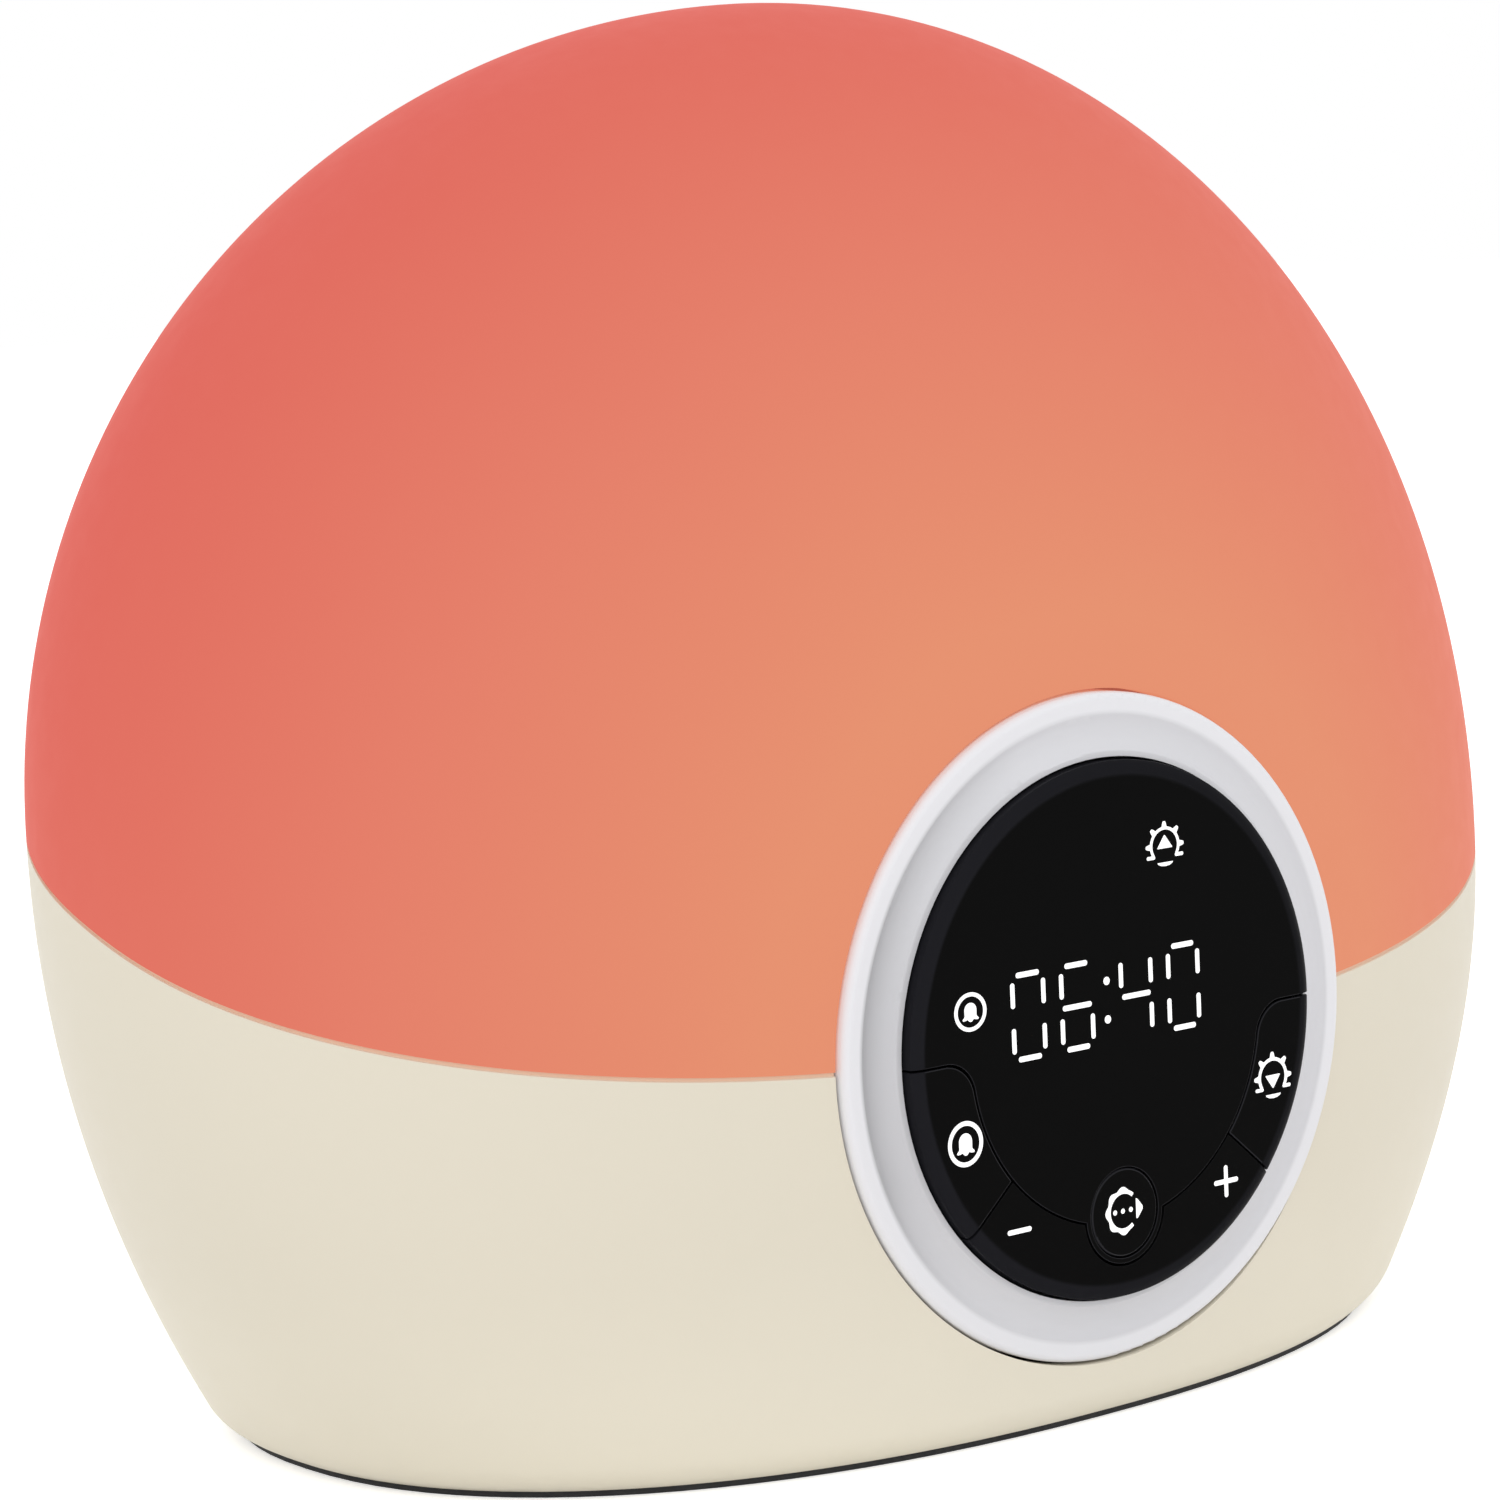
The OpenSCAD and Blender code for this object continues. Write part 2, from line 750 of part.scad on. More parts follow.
// Round key inside the window's collar
module light_key() {
    r = light_key_d / 2;
    edge = 0.3;
    color([0.07, 0.07, 0.08])
    on_panel() at_light_key() {
        rotate_extrude() {
            translate([0, -skirt_depth]) difference() {
                square([r - edge, skirt_depth]);
                translate([-1, -1]) square([r - 0.2, skirt_depth - cap_t + 1]);
            }
            translate([0, -skirt_depth]) difference() {
                square([r, skirt_depth - edge]);
                translate([-1, -1]) square([r - 0.2, skirt_depth - cap_t + 1]);
            }
            translate([r - edge, -edge]) circle(edge, $fn = 24);
        }
        key_stem(stem_r, stem_depth);
        stem_collar();
        wing_foot = deck_depth + deck_t + 0.05;
        translate([0, 0, -wing_foot]) linear_extrude(wing_foot - cap_t + eps) winged_stem(0);
    }
}

// One key for plus and minus, which rocks on the collar's pins
module adjust_rocker() {
    color([0.07, 0.07, 0.08])
    on_panel() {
        difference() {
            union() {
                difference() {
                    band_key(-180 + side_key_end, -side_key_end);
                    at_light_key() translate([0, 0, -deck_depth - 1])
                        cylinder(r = yoke_in_r, h = deck_depth + 2);
                }
                at_light_key() tube(yoke_in_r, yoke_r, cap_t + 0.6, pivot_depth + 1.4);
                intersection() {
                    at_light_key() tube(yoke_in_r, yoke_r, cap_t - 0.3, pivot_depth + 1.4);
                    translate([0, 0, -deck_depth]) linear_extrude(deck_depth)
                        band_outline(band_r + key_gap, -key_gap, band_corner);
                }
            }
            at_light_key() translate([0, 0, -pivot_depth]) rotate([90, 0, 0])
                cylinder(r = pivot_r + pivot_clearance, h = 2 * yoke_r + 2, center = true);
        }
        for (a = [-rocker_stem_angle, -180 + rocker_stem_angle])
            at_angle(stem_ring_r, a) key_stem(stem_r, stem_depth);
    }
}

// Places of the stems that press the keypad
module stem_places() {
    for (a = [side_stem_angle, rocker_stem_angle, 180 - rocker_stem_angle, 180 - side_stem_angle])
        at_angle(stem_ring_r, -a) children();
    at_light_key() children();
}

// Silicone mat whose domes spring the keys back
module keypad_mat() {
    dome_h = board_depth - mat_t - stem_depth;
    color([0.75, 0.75, 0.72])
    on_panel() {
        translate([0, 0, -board_depth]) linear_extrude(mat_t) intersection() {
            circle(panel_r);
            translate([-panel_r, -panel_r]) square([2 * panel_r, panel_r - 4]);
        }
        stem_places() translate([0, 0, -board_depth + mat_t - eps])
            cylinder(r1 = 2.8, r2 = 1.9, h = dome_h + eps);
    }
}

// Deck behind the keys: it guides the stems and holds the window off the board
module panel_carrier() {
    clear = 0.4;
    color([0.15, 0.15, 0.16])
    on_panel() difference() {
        union() {
            translate([0, 0, -deck_depth - deck_t]) cylinder(r = board_r, h = deck_t, $fn = 96);
            for (a = [0, 90, 180, 270]) at_angle(board_r - 2.2, a)
                translate([0, 0, -board_depth]) cylinder(r = 2, h = board_depth - deck_depth - 0.5);
        }
        for (a = panel_boss_angles) at_angle(boss_ring_r, a) translate([0, 0, -board_depth - 1])
            cylinder(r = 2.6 + clear, h = board_depth + 2);
        translate([display_at.x, display_at.y, -deck_depth - deck_t / 2])
            cube([display_size.x + 2 * clear, display_size.y + 2 * clear, deck_t + 1], center = true);
        for (a = [side_stem_angle, rocker_stem_angle]) for (b = [-a, a - 180])
            at_angle(stem_ring_r, b) translate([0, 0, -board_depth])
                cylinder(r = stem_r + stem_gap, h = board_depth);
        at_light_key() translate([0, 0, -board_depth]) linear_extrude(board_depth)
            winged_stem(stem_clearance);
        for (a = [7.5, side_key_end - 7]) for (b = [-a, a - 180])
            at_angle(stem_ring_r, b) translate([0, 0, -board_depth])
                cylinder(r = guide_r + stem_clearance, h = board_depth);
        for (p = indicator_at) translate([p.x, p.y, -board_depth]) cylinder(r = 2.4, h = board_depth);
    }
}

module display_board() {
    color([0.10, 0.33, 0.20])
    on_panel() difference() {
        translate([0, 0, -board_depth - board_t]) cylinder(r = board_r, h = board_t, $fn = 96);
        for (a = panel_boss_angles) at_angle(boss_ring_r, a) translate([0, 0, -board_depth - board_t - 1])
            cylinder(r = screw_r + 0.2, h = board_t + 2);
    }
}

// Four-digit module close behind the window
module led_display() {
    front = cap_t + 0.4;
    color([0.16, 0.16, 0.17])
    on_panel() translate([display_at.x, display_at.y, -board_depth])
        difference() {
            translate([-display_size.x / 2, -display_size.y / 2, 0])
                cube([display_size.x, display_size.y, board_depth - front]);
            for (s = [-1, 1], i = [0, 1])
                translate([s * ((i + 0.5) * digit_pitch + pair_gap / 2), 0, board_depth - front - 0.4])
                    digit_wells();
            for (s = [-1, 1]) translate([0, 2.1 * s, board_depth - front - 0.4]) cylinder(r = 0.6, h = 1);
        }
}

// Wells of a digit's seven bars
module digit_wells() {
    for (v = [-1, 0, 1]) translate([-1.6, 4.5 * v - 0.4, 0]) cube([3.2, 0.8, 1]);
    for (s = [-1, 1], v = [-1, 1]) translate([2.2 * s - 0.4, 2.25 * v - 1.6, 0]) cube([0.8, 3.2, 1]);
}

module indicator_leds() {
    color([0.95, 0.95, 0.85])
    on_panel() for (p = indicator_at) translate([p.x, p.y, -board_depth]) {
        translate([-1.75, -1.4, 0]) cube([3.5, 2.8, 1.2]);
        cylinder(r = 1.1, h = board_depth - cap_t - 0.4);
    }
}

module display_screws() {
    color([0.75, 0.75, 0.77])
    on_panel() for (a = panel_boss_angles) at_angle(boss_ring_r, a)
        translate([0, 0, -board_depth - board_t]) rotate([180, 0, 0]) screw(board_t + 3.4);
}

module bezel_screws() {
    color([0.75, 0.75, 0.77])
    on_panel() for (a = ear_angles) ear_place(a)
        translate([0, 0, -barrel_depth]) rotate([180, 0, 0]) screw(ear_t + 2);
}

// ---------- Lamp ----------

// Outline of the lamp's tray in the seam's plane
module tray_outline(inset) {
    difference() {
        polygon([
            for (i = [0 : around - 1])
                let (p = seam_pt(360 * i / around, tray_inset + inset))
                [p.x, p.y / cos(seam_tilt)]
        ]);
        translate([-body_w, -body_w - tray_front + inset]) square([2 * body_w, body_w]);
    }
}

module at_lamp() {
    on_seam() translate([0, lamp_back, 0]) children();
}

module reflector_tray() {
    rim = 1.6;
    color([0.96, 0.96, 0.95])
    difference() {
        on_seam() translate([0, 0, -tray_drop]) {
            linear_extrude(tray_t) tray_outline(0);
            linear_extrude(tray_drop) difference() {
                tray_outline(0);
                tray_outline(rim);
            }
        }
        at_lamp() translate([0, 0, -tray_drop - 1]) cylinder(r = lamp_d / 2 - 8, h = tray_t + 2);
        at_lamp() for (a = lamp_screw_angles) at_angle(lamp_screw_r, a)
            translate([0, 0, -tray_drop - 1]) cylinder(r = pilot_r, h = tray_t + 2);
        for (p = post_places()) on_seam() post_place(p) translate([0, 0, -tray_drop - 1])
            cylinder(r = screw_r + 0.2, h = tray_t + 2);
        for (s = [-1, 1]) lead_hole(s);
    }
}

// Finned plate that takes the heat of the lamp's board
module heat_spreader() {
    fin_h = 12;
    fin_t = 1.2;
    core_r = lamp_d / 2 - 9;
    top = tray_t - tray_drop;
    color([0.72, 0.73, 0.75])
    at_lamp() difference() {
        union() {
            translate([0, 0, top]) cylinder(r = lamp_d / 2 + 2, h = spreader_t);
            translate([0, 0, top - tray_t - 1]) cylinder(r = core_r, h = tray_t + 1 + eps);
            for (i = [0 : fin_count - 1]) {
                x = (i - (fin_count - 1) / 2) * 2 * (core_r - 2) / (fin_count - 1);
                half = sqrt(pow(core_r, 2) - pow(abs(x) + fin_t / 2, 2)) - 0.6;
                translate([x - fin_t / 2, -half, top - tray_t - fin_h])
                    cube([fin_t, 2 * half, fin_h]);
            }
        }
        for (a = lamp_screw_angles) at_angle(lamp_screw_r, a) translate([0, 0, top - 1])
            cylinder(r = screw_r + 0.2, h = spreader_t + 2);
        for (s = [-1, 1]) translate([lead_at(s).x, lead_at(s).y, top - 1])
            cylinder(r = lead_hole_r, h = spreader_t + 2);
    }
}

module lamp_board() {
    color([0.93, 0.93, 0.90])
    at_lamp() difference() {
        translate([0, 0, lamp_level]) cylinder(r = lamp_d / 2, h = board_t);
        for (a = lamp_screw_angles) at_angle(lamp_screw_r, a) translate([0, 0, lamp_level - 1])
            cylinder(r = screw_r + 0.2, h = board_t + 2);
    }
}

module lamp_leds() {
    color([0.98, 0.90, 0.55])
    at_lamp() translate([0, 0, lamp_level + board_t]) {
        for (i = [0 : lamp_count - 1]) rotate(360 * (i + 0.5) / lamp_count)
            translate([lamp_d / 2 - 9.5, -1.5, 0]) cube([3, 3, 0.8]);
        for (i = [0 : lamp_count / 2 - 1]) rotate(720 * i / lamp_count)
            translate([lamp_d / 4 - 5, -1.5, 0]) cube([3, 3, 0.8]);
    }
}

module lamp_screws() {
    color([0.75, 0.75, 0.77])
    at_lamp() for (a = lamp_screw_angles) at_angle(lamp_screw_r, a)
        translate([0, 0, lamp_level + board_t]) screw(board_t + spreader_t + tray_t);
}

module tray_screws() {
    color([0.75, 0.75, 0.77])
    on_seam() for (p = post_places()) post_place(p) translate([0, 0, tray_t - tray_drop]) screw(tray_t + 6);
}

// ---------- Electronics ----------

function main_holes() = [
    for (x = [-1, 1], y = [0, 1])
        [x * (main_w / 2 - main_hole_inset), main_y + main_hole_inset + y * (main_d - 2 * main_hole_inset)]
];

module main_board() {
    color([0.10, 0.33, 0.20])
    difference() {
        translate([-main_w / 2, main_y, main_z]) cube([main_w, main_d, board_t]);
        for (p = main_holes()) translate([p.x, p.y, main_z - 1])
            cylinder(r = screw_r + 0.2, h = board_t + 2);
    }
}

module main_chips() {
    chips = [
        [-14, -6, 12, 12, 1.4],
        [10, 0, 9, 7, 1.6],
        [22, -10, 5, 5, 1.2],
        [-27, 6, 6, 5, 1.5],
        [-2, 6, 4, 3, 1],
        [27, 2, 3, 3, 0.9]
    ];
    color([0.12, 0.12, 0.12])
    translate([0, main_y + main_d / 2, main_top]) {
        for (c = chips) translate([c[0] - c[2] / 2, c[1] - c[3] / 2, 0]) cube([c[2], c[3], c[4]]);
        for (i = [0 : 4]) translate([-24 + 3 * i, -16, 0]) cube([1.6, 0.9, 0.6]);
        for (i = [0 : 3]) translate([16 + 3 * i, 6, 0]) cube([0.9, 1.6, 0.6]);
        translate([2, -14, 0]) power_coil();
    }
}

// Drum-shaped coil of the lamp's supply
module power_coil() {
    rotate_extrude() polygon([
        [0, 0], [3.4, 0], [3.4, 0.8], [2.6, 1.3],
        [2.6, 2.7], [3.4, 3.2], [3.4, 4], [0, 4]
    ]);
}

module capacitors() {
    cans = [[-22, -8, 4, 11], [-12, -6, 3.15, 9], [18, -8, 4, 11], [25, -19, 2.5, 7]];
    color([0.25, 0.27, 0.33])
    translate([0, main_rear, main_top])
        for (c = cans) translate([c[0], c[1], 0]) cylinder(r = c[2], h = c[3]);
}

// Headers: ribbon to the display, leads to the lamp, and the display board's own
module board_connectors() {
    color([0.92, 0.90, 0.84]) {
        translate([ribbon_x - ribbon_w / 2 - 1, main_header_y - 2, main_top])
            cube([ribbon_w + 2, 4, header_h]);
        translate([lead_header_at.x - 2.5, lead_header_at.y - 4, main_top]) cube([5, 8, header_h]);
        on_panel() translate([0, display_header_v - 2, -board_depth - board_t - header_h])
            translate([ribbon_x - ribbon_w / 2 - 1, 0, 0]) cube([ribbon_w + 2, 4, header_h]);
    }
}

module speaker() {
    color([0.28, 0.28, 0.30])
    translate([speaker_at.x, speaker_at.y, plate_top]) rotate_extrude() polygon([
        [speaker_r, 0],
        [speaker_r, 1.6],
        [speaker_r - 0.8, 2.2],
        [speaker_r - 3, 3.6],
        [speaker_r - 3, speaker_h],
        [0, speaker_h],
        [0, 2.2],
        [2.5, 2.2],
        [3.2, 2.9],
        [speaker_r - 2.4, 1],
        [speaker_r - 1.6, 0.5],
        [speaker_r - 1.6, 0]
    ]);
}

// Power socket on the board's rear edge, with its centre pin inside
module dc_jack() {
    color([0.10, 0.10, 0.11])
    difference() {
        union() {
            translate([-jack_w / 2, jack_face_y - jack_len - 3, main_top]) cube([jack_w, jack_len, jack_h]);
            translate([0, jack_face_y, jack_axis_z]) rotate([90, 0, 0]) cylinder(r = jack_nose_r, h = 4);
        }
        translate([0, jack_face_y + 1, jack_axis_z]) rotate([90, 0, 0])
            cylinder(r = jack_bore_d / 2, h = jack_depth + 1);
    }
    color([0.80, 0.78, 0.70])
    translate([0, jack_face_y - 1, jack_axis_z]) rotate([90, 0, 0])
        cylinder(r = jack_pin_d / 2, h = jack_depth);
}

module board_screws() {
    color([0.75, 0.75, 0.77])
    for (p = main_holes()) translate([p.x, p.y, main_top]) screw(board_t + 4);
}

module base_screws() {
    color([0.75, 0.75, 0.77])
    for (a = base_boss_angles) {
        p = foot_pt(a, base_boss_inset);
        translate([p.x, p.y, foot_h + base_recess]) mirror([0, 0, 1]) screw(plate_t - base_recess + 6);
    }
}

// ---------- Cables ----------

// Point of a cubic curve
function curve(p, t) =
    pow(1 - t, 3) * p[0] + 3 * pow(1 - t, 2) * t * p[1] + 3 * (1 - t) * t * t * p[2] + pow(t, 3) * p[3];
function unit(v) = v / norm(v);
function curve_dir(p, t) = unit(curve(p, min(t + 0.01, 1)) - curve(p, max(t - 0.01, 0)));

// Flat ribbon from the display board to the main board, bent in the YZ plane
module ribbon_cable() {
    steps = 18;
    half = 0.35;
    depth = board_depth + board_t + header_h;
    start = [
        -body_d / 2 - panel_proud + depth * cos(panel_tilt) + display_header_v * sin(panel_tilt),
        panel_level - depth * sin(panel_tilt) + display_header_v * cos(panel_tilt)
    ];
    finish = [main_header_y, main_top + header_h];
    route = [start, start + [9, 0], finish + [0, 16], finish];
    line = [for (i = [0 : steps]) curve(route, i / steps)];
    side = [for (i = [0 : steps]) let (d = curve_dir(route, i / steps)) half * [-d.y, d.x]];
    color([0.62, 0.62, 0.66])
    translate([ribbon_x - ribbon_w / 2, 0, 0]) rotate([90, 0, 90]) linear_extrude(ribbon_w)
        polygon(concat(
            [for (i = [0 : steps]) line[i] + side[i]],
            [for (i = [steps : -1 : 0]) line[i] - side[i]]
        ));
}

// Round wire swept along a cubic curve
module wire(route, r) {
    steps = 14;
    sides = 8;
    rings = [
        for (i = [0 : steps])
            let (d = curve_dir(route, i / steps), u = unit(cross(d, [1, 0.2, 0])), v = cross(d, u))
            [for (k = [0 : sides - 1])
                curve(route, i / steps) + r * (cos(360 * k / sides) * u + sin(360 * k / sides) * v)]
    ];
    polyhedron(flat(rings), concat(
        [[for (k = [0 : sides - 1]) k]],
        [for (i = [0 : steps - 1], k = [0 : sides - 1]) each [
            [i * sides + k, (i + 1) * sides + k, i * sides + (k + 1) % sides],
            [(i + 1) * sides + k, (i + 1) * sides + (k + 1) % sides, i * sides + (k + 1) % sides]
        ]],
        [[for (k = [sides - 1 : -1 : 0]) steps * sides + k]]
    ));
}

// A point of the lamp's frame in the clock's frame
function lamp_point(p) = [
    p.x,
    (p.y + lamp_back) * cos(seam_tilt) - p.z * sin(seam_tilt),
    seam_z + (p.y + lamp_back) * sin(seam_tilt) + p.z * cos(seam_tilt)
];

// Place of a lead in the lamp's frame
function lead_at(s) = [3 - lamp_d / 2, 2.8 * s];

module lead_hole(s) {
    at_lamp() translate([lead_at(s).x, lead_at(s).y, -tray_drop - 1])
        cylinder(r = lead_hole_r, h = tray_t + 2);
}

module lamp_leads() {
    wire_r = 0.7;
    color([0.75, 0.12, 0.10])
    for (s = [-1, 1]) {
        start = [lead_header_at.x, lead_header_at.y + 1.5 * s, main_top + header_h];
        finish = lamp_point([lead_at(s).x, lead_at(s).y, lamp_level]);
        below = lamp_point([lead_at(s).x, lead_at(s).y, lamp_level - 22]);
        wire([start, start + [0, 0, 14], below, finish], wire_r);
    }
}

// ---------- Assembly ----------

diffuser_dome();
seam_gasket();
base_housing();
base_plate();
foot_ring();
bezel_ring();
display_window();
alarm_key();
sunset_key();
light_key();
adjust_rocker();
keypad_mat();
panel_carrier();
display_board();
led_display();
indicator_leds();
display_screws();
bezel_screws();
reflector_tray();
heat_spreader();
lamp_board();
lamp_leds();
lamp_screws();
tray_screws();
main_board();
main_chips();
capacitors();
board_connectors();
speaker();
dc_jack();
board_screws();
base_screws();
ribbon_cable();
lamp_leads();
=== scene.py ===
"""Looks of a sunrise alarm clock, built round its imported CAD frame. Metres, +Z up, the front faces -Y."""

import json
from math import atan2, cos, hypot, pi, radians, sin, sqrt, tan
import bmesh
import bpy
from bpy.props import FloatProperty, FloatVectorProperty, IntProperty, PointerProperty
from mathutils import Matrix, Quaternion, Vector

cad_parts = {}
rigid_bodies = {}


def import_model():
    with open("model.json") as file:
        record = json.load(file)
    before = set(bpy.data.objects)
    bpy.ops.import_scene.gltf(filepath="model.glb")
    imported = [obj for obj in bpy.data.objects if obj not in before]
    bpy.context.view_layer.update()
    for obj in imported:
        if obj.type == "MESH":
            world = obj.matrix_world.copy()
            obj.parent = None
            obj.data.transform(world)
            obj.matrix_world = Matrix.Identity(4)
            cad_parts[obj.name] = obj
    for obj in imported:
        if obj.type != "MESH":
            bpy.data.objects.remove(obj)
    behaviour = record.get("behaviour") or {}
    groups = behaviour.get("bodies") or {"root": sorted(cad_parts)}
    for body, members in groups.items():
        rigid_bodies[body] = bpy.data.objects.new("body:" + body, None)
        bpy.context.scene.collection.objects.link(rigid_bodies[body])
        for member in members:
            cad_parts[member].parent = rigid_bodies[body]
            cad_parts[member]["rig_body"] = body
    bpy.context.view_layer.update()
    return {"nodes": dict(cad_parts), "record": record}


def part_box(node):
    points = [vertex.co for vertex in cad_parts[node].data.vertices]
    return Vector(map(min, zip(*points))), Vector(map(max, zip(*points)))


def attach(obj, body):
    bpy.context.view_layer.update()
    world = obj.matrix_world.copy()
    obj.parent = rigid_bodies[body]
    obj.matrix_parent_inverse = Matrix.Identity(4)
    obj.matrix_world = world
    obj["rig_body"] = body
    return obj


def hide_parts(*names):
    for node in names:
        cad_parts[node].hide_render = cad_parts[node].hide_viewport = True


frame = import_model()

bl_info = {
    "name": "Sunrise alarm clock",
    "version": (1, 0, 0),
    "blender": (4, 5, 0),
    "location": "View3D > Sidebar > Sunrise clock",
    "description": "Builds the dome, housing, panel, signs, screws and stage of a sunrise alarm clock",
    "category": "Object",
}

MM = 0.001
# Points closer than this are taken as one
WELD = 2e-6
NODES = frame["nodes"]
MOUNTS = {mount["name"]: Vector(mount["pos_m"]) for mount in frame["record"]["mounts"]}
DOME_LOW, DOME_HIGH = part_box("diffuser_dome")
SOCKET_RADIUS = 4.6 * MM
# Degrees round the floor's outline and round the panel
BASE_SCREW_ANGLES = 45, 135, 225, 315
EAR_ANGLES = 200, 236, 304, 340


# ---------- Settings ----------


def display(*levels):
    """A linear colour from display values of 0 to 255."""
    return tuple(((v / 255 + 0.055) / 1.055) ** 2.4 if v > 10 else v / 255 / 12.92 for v in levels)


def length(name, description, default, low=0.0, high=1.0):
    """A size in metres that a user can change."""
    return FloatProperty(
        name=name, description=description, default=default, min=low, max=high,
        subtype="DISTANCE", unit="LENGTH", precision=5,
    )


def colour(name, description, default):
    """A colour that a user can change."""
    return FloatVectorProperty(
        name=name, description=description, default=default, min=0.0, max=1.0, size=3, subtype="COLOR",
    )


def angle(name, description, default):
    """An angle that a user can change."""
    return FloatProperty(name=name, description=description, default=default, subtype="ANGLE", unit="ROTATION")


def share(name, description, default, high=1.0):
    """A plain number that a user can change."""
    return FloatProperty(name=name, description=description, default=default, min=0.0, max=high)


def whole(name, description, default, low, high):
    """A count that a user can change."""
    return IntProperty(name=name, description=description, default=default, min=low, max=high)


class ClockBodySettings(bpy.types.PropertyGroup):
    """Sizes and colours of the dome, the seam and the housing."""

    width: length("Width", "Width of the body at the seam", DOME_HIGH.x - DOME_LOW.x)
    depth: length("Depth", "Depth of the body at the seam", 106 * MM)
    height: length("Height", "Top of the dome above the floor", DOME_HIGH.z)
    seam_power: share("Seam squareness", "Power of the seam's outline, 2 is an ellipse", 2.25, 4.0)
    seam_level: length("Seam level", "Seam's height at mid depth", 62 * MM)
    seam_tilt: angle("Seam tilt", "Slope of the seam, low in front", radians(20))
    seam_groove: length("Seam groove", "Groove between dome and housing", 0.5 * MM)
    seal_inset: length("Seal inset", "How far the seal stands back in the groove", 0.3 * MM)
    apex_back: length("Apex back", "How far the top lies behind the middle", 2 * MM)
    wall: length("Wall", "Thickness of dome and housing", 2.2 * MM)
    foot_width: length("Foot width", "Width of the outline at the floor", 147 * MM)
    foot_depth: length("Foot depth", "Depth of the outline at the floor", 101 * MM)
    foot_power: share("Foot squareness", "Power of the floor's outline", 2.25, 4.0)
    side_draft: share("Side draft", "Straight share of the housing's taper", 0.0)
    side_bow: share("Side bow", "How late the curved share of the taper comes", 2.0, 4.0)
    foot_round: length("Foot rounding", "Radius of the housing's lower edge", 4 * MM)
    foot_lift: length("Foot lift", "Lower edge of the housing above the floor", 0.8 * MM)
    boss_radius: length("Boss radius", "Radius of the housing's screw bosses", 3.4 * MM)
    pilot_radius: length("Pilot radius", "Radius of the bosses' screw holes", 1.15 * MM)
    around: whole("Around", "Faces round the dome and the housing", 288, 24, 720)
    dome_steps: whole("Dome steps", "Faces up the dome", 72, 8, 200)
    side_steps: whole("Side steps", "Faces up the housing", 36, 6, 120)
    glow_near: colour("Glow near", "Dome colour beside the panel", display(231, 146, 112))
    glow_mid: colour("Glow middle", "Dome colour half way out", display(229, 127, 105))
    glow_far: colour("Glow far", "Dome colour far from the panel", display(224, 102, 91))
    glow_share: share("Glow share", "Share of the dome's colour that comes from its own light", 0.8)
    cream: colour("Cream", "Housing colour", display(233, 226, 208))
    # Painted light: a paler cream low down that offsets the shade near the floor
    cream_low: colour("Cream at the floor", "Housing colour at its lower edge", display(240, 233, 215))
    seal_colour: colour("Seal colour", "Colour of the seal in the seam", display(236, 205, 178))


class ClockPanelSettings(bpy.types.PropertyGroup):
    """Sizes and colours of the round control panel."""

    level: length("Level", "Panel centre above the floor", 43.6 * MM)
    face: length("Face", "Distance of the face ahead of the middle", 53.7 * MM)
    lean: angle("Lean", "Lean of the panel, back at the top", 0.0)
    disc_radius: length("Disc radius", "Radius of the black disc", 29.3 * MM)
    disc_edge: length("Disc edge", "Width of the disc's rounded edge", 1.6 * MM)
    edge_gap: length("Edge gap", "Clearance round the disc and round the ring", 0.3 * MM)
    ring_width: length("Ring width", "Width of the white ring", 6.9 * MM)
    barrel: length("Barrel depth", "Depth of the ring's barrel behind the face", 13 * MM)
    ear_inset: length("Ear reach", "From the ring's rim to its ears' screws", 4.6 * MM)
    key_bevel: length("Key bevel", "Fine rounding of the keys' edges", 0.14 * MM)
    sign_lift: length("Sign lift", "Height of the lit signs on the face", 0.03 * MM)
    digit_width: length("Digit width", "Between the upright bars of a digit", 4.4 * MM)
    digit_height: length("Digit height", "Between the lower and upper bars of a digit", 9.05 * MM)
    bar_width: length("Bar width", "Width of a digit's bar", 0.6 * MM)
    ring_white: colour("Ring white", "Colour of the ring", display(240, 240, 244))
    # Painted shade: the dish's two colours stand in for shade inside the lip, deeper on the left
    ring_shade: colour("Ring shade", "Colour of the ring's dish", display(224, 224, 228))
    ring_deep: colour("Ring deep shade", "Colour of the dish where the lip shades it", display(182, 182, 185))
    black: colour("Black", "Colour of the disc and the keys", display(12, 12, 12))
    # Painted reflection: a paler colour on the disc's rounded edge, and a painted highlight on the keys' bevels
    black_edge: colour("Black edge", "Colour of the disc's polished edge", display(31, 31, 35))
    sign_light: colour("Sign light", "Colour of the lit signs", (1.0, 1.0, 1.0))


class ClockScrewSettings(bpy.types.PropertyGroup):
    """Sizes of the pan-head screws and the lamp's LEDs."""

    head_radius: length("Head radius", "Radius of a screw's head", 2.1 * MM)
    head_height: length("Head height", "Height of a screw's head", 1.4 * MM)
    shank_radius: length("Shank radius", "Radius over a screw's thread", 1.1 * MM)
    pitch: length("Pitch", "Pitch of a screw's thread", 0.9 * MM)
    led_width: length("LED width", "Side of a lamp LED", 3 * MM)
    led_height: length("LED height", "Height of a lamp LED", 0.8 * MM)


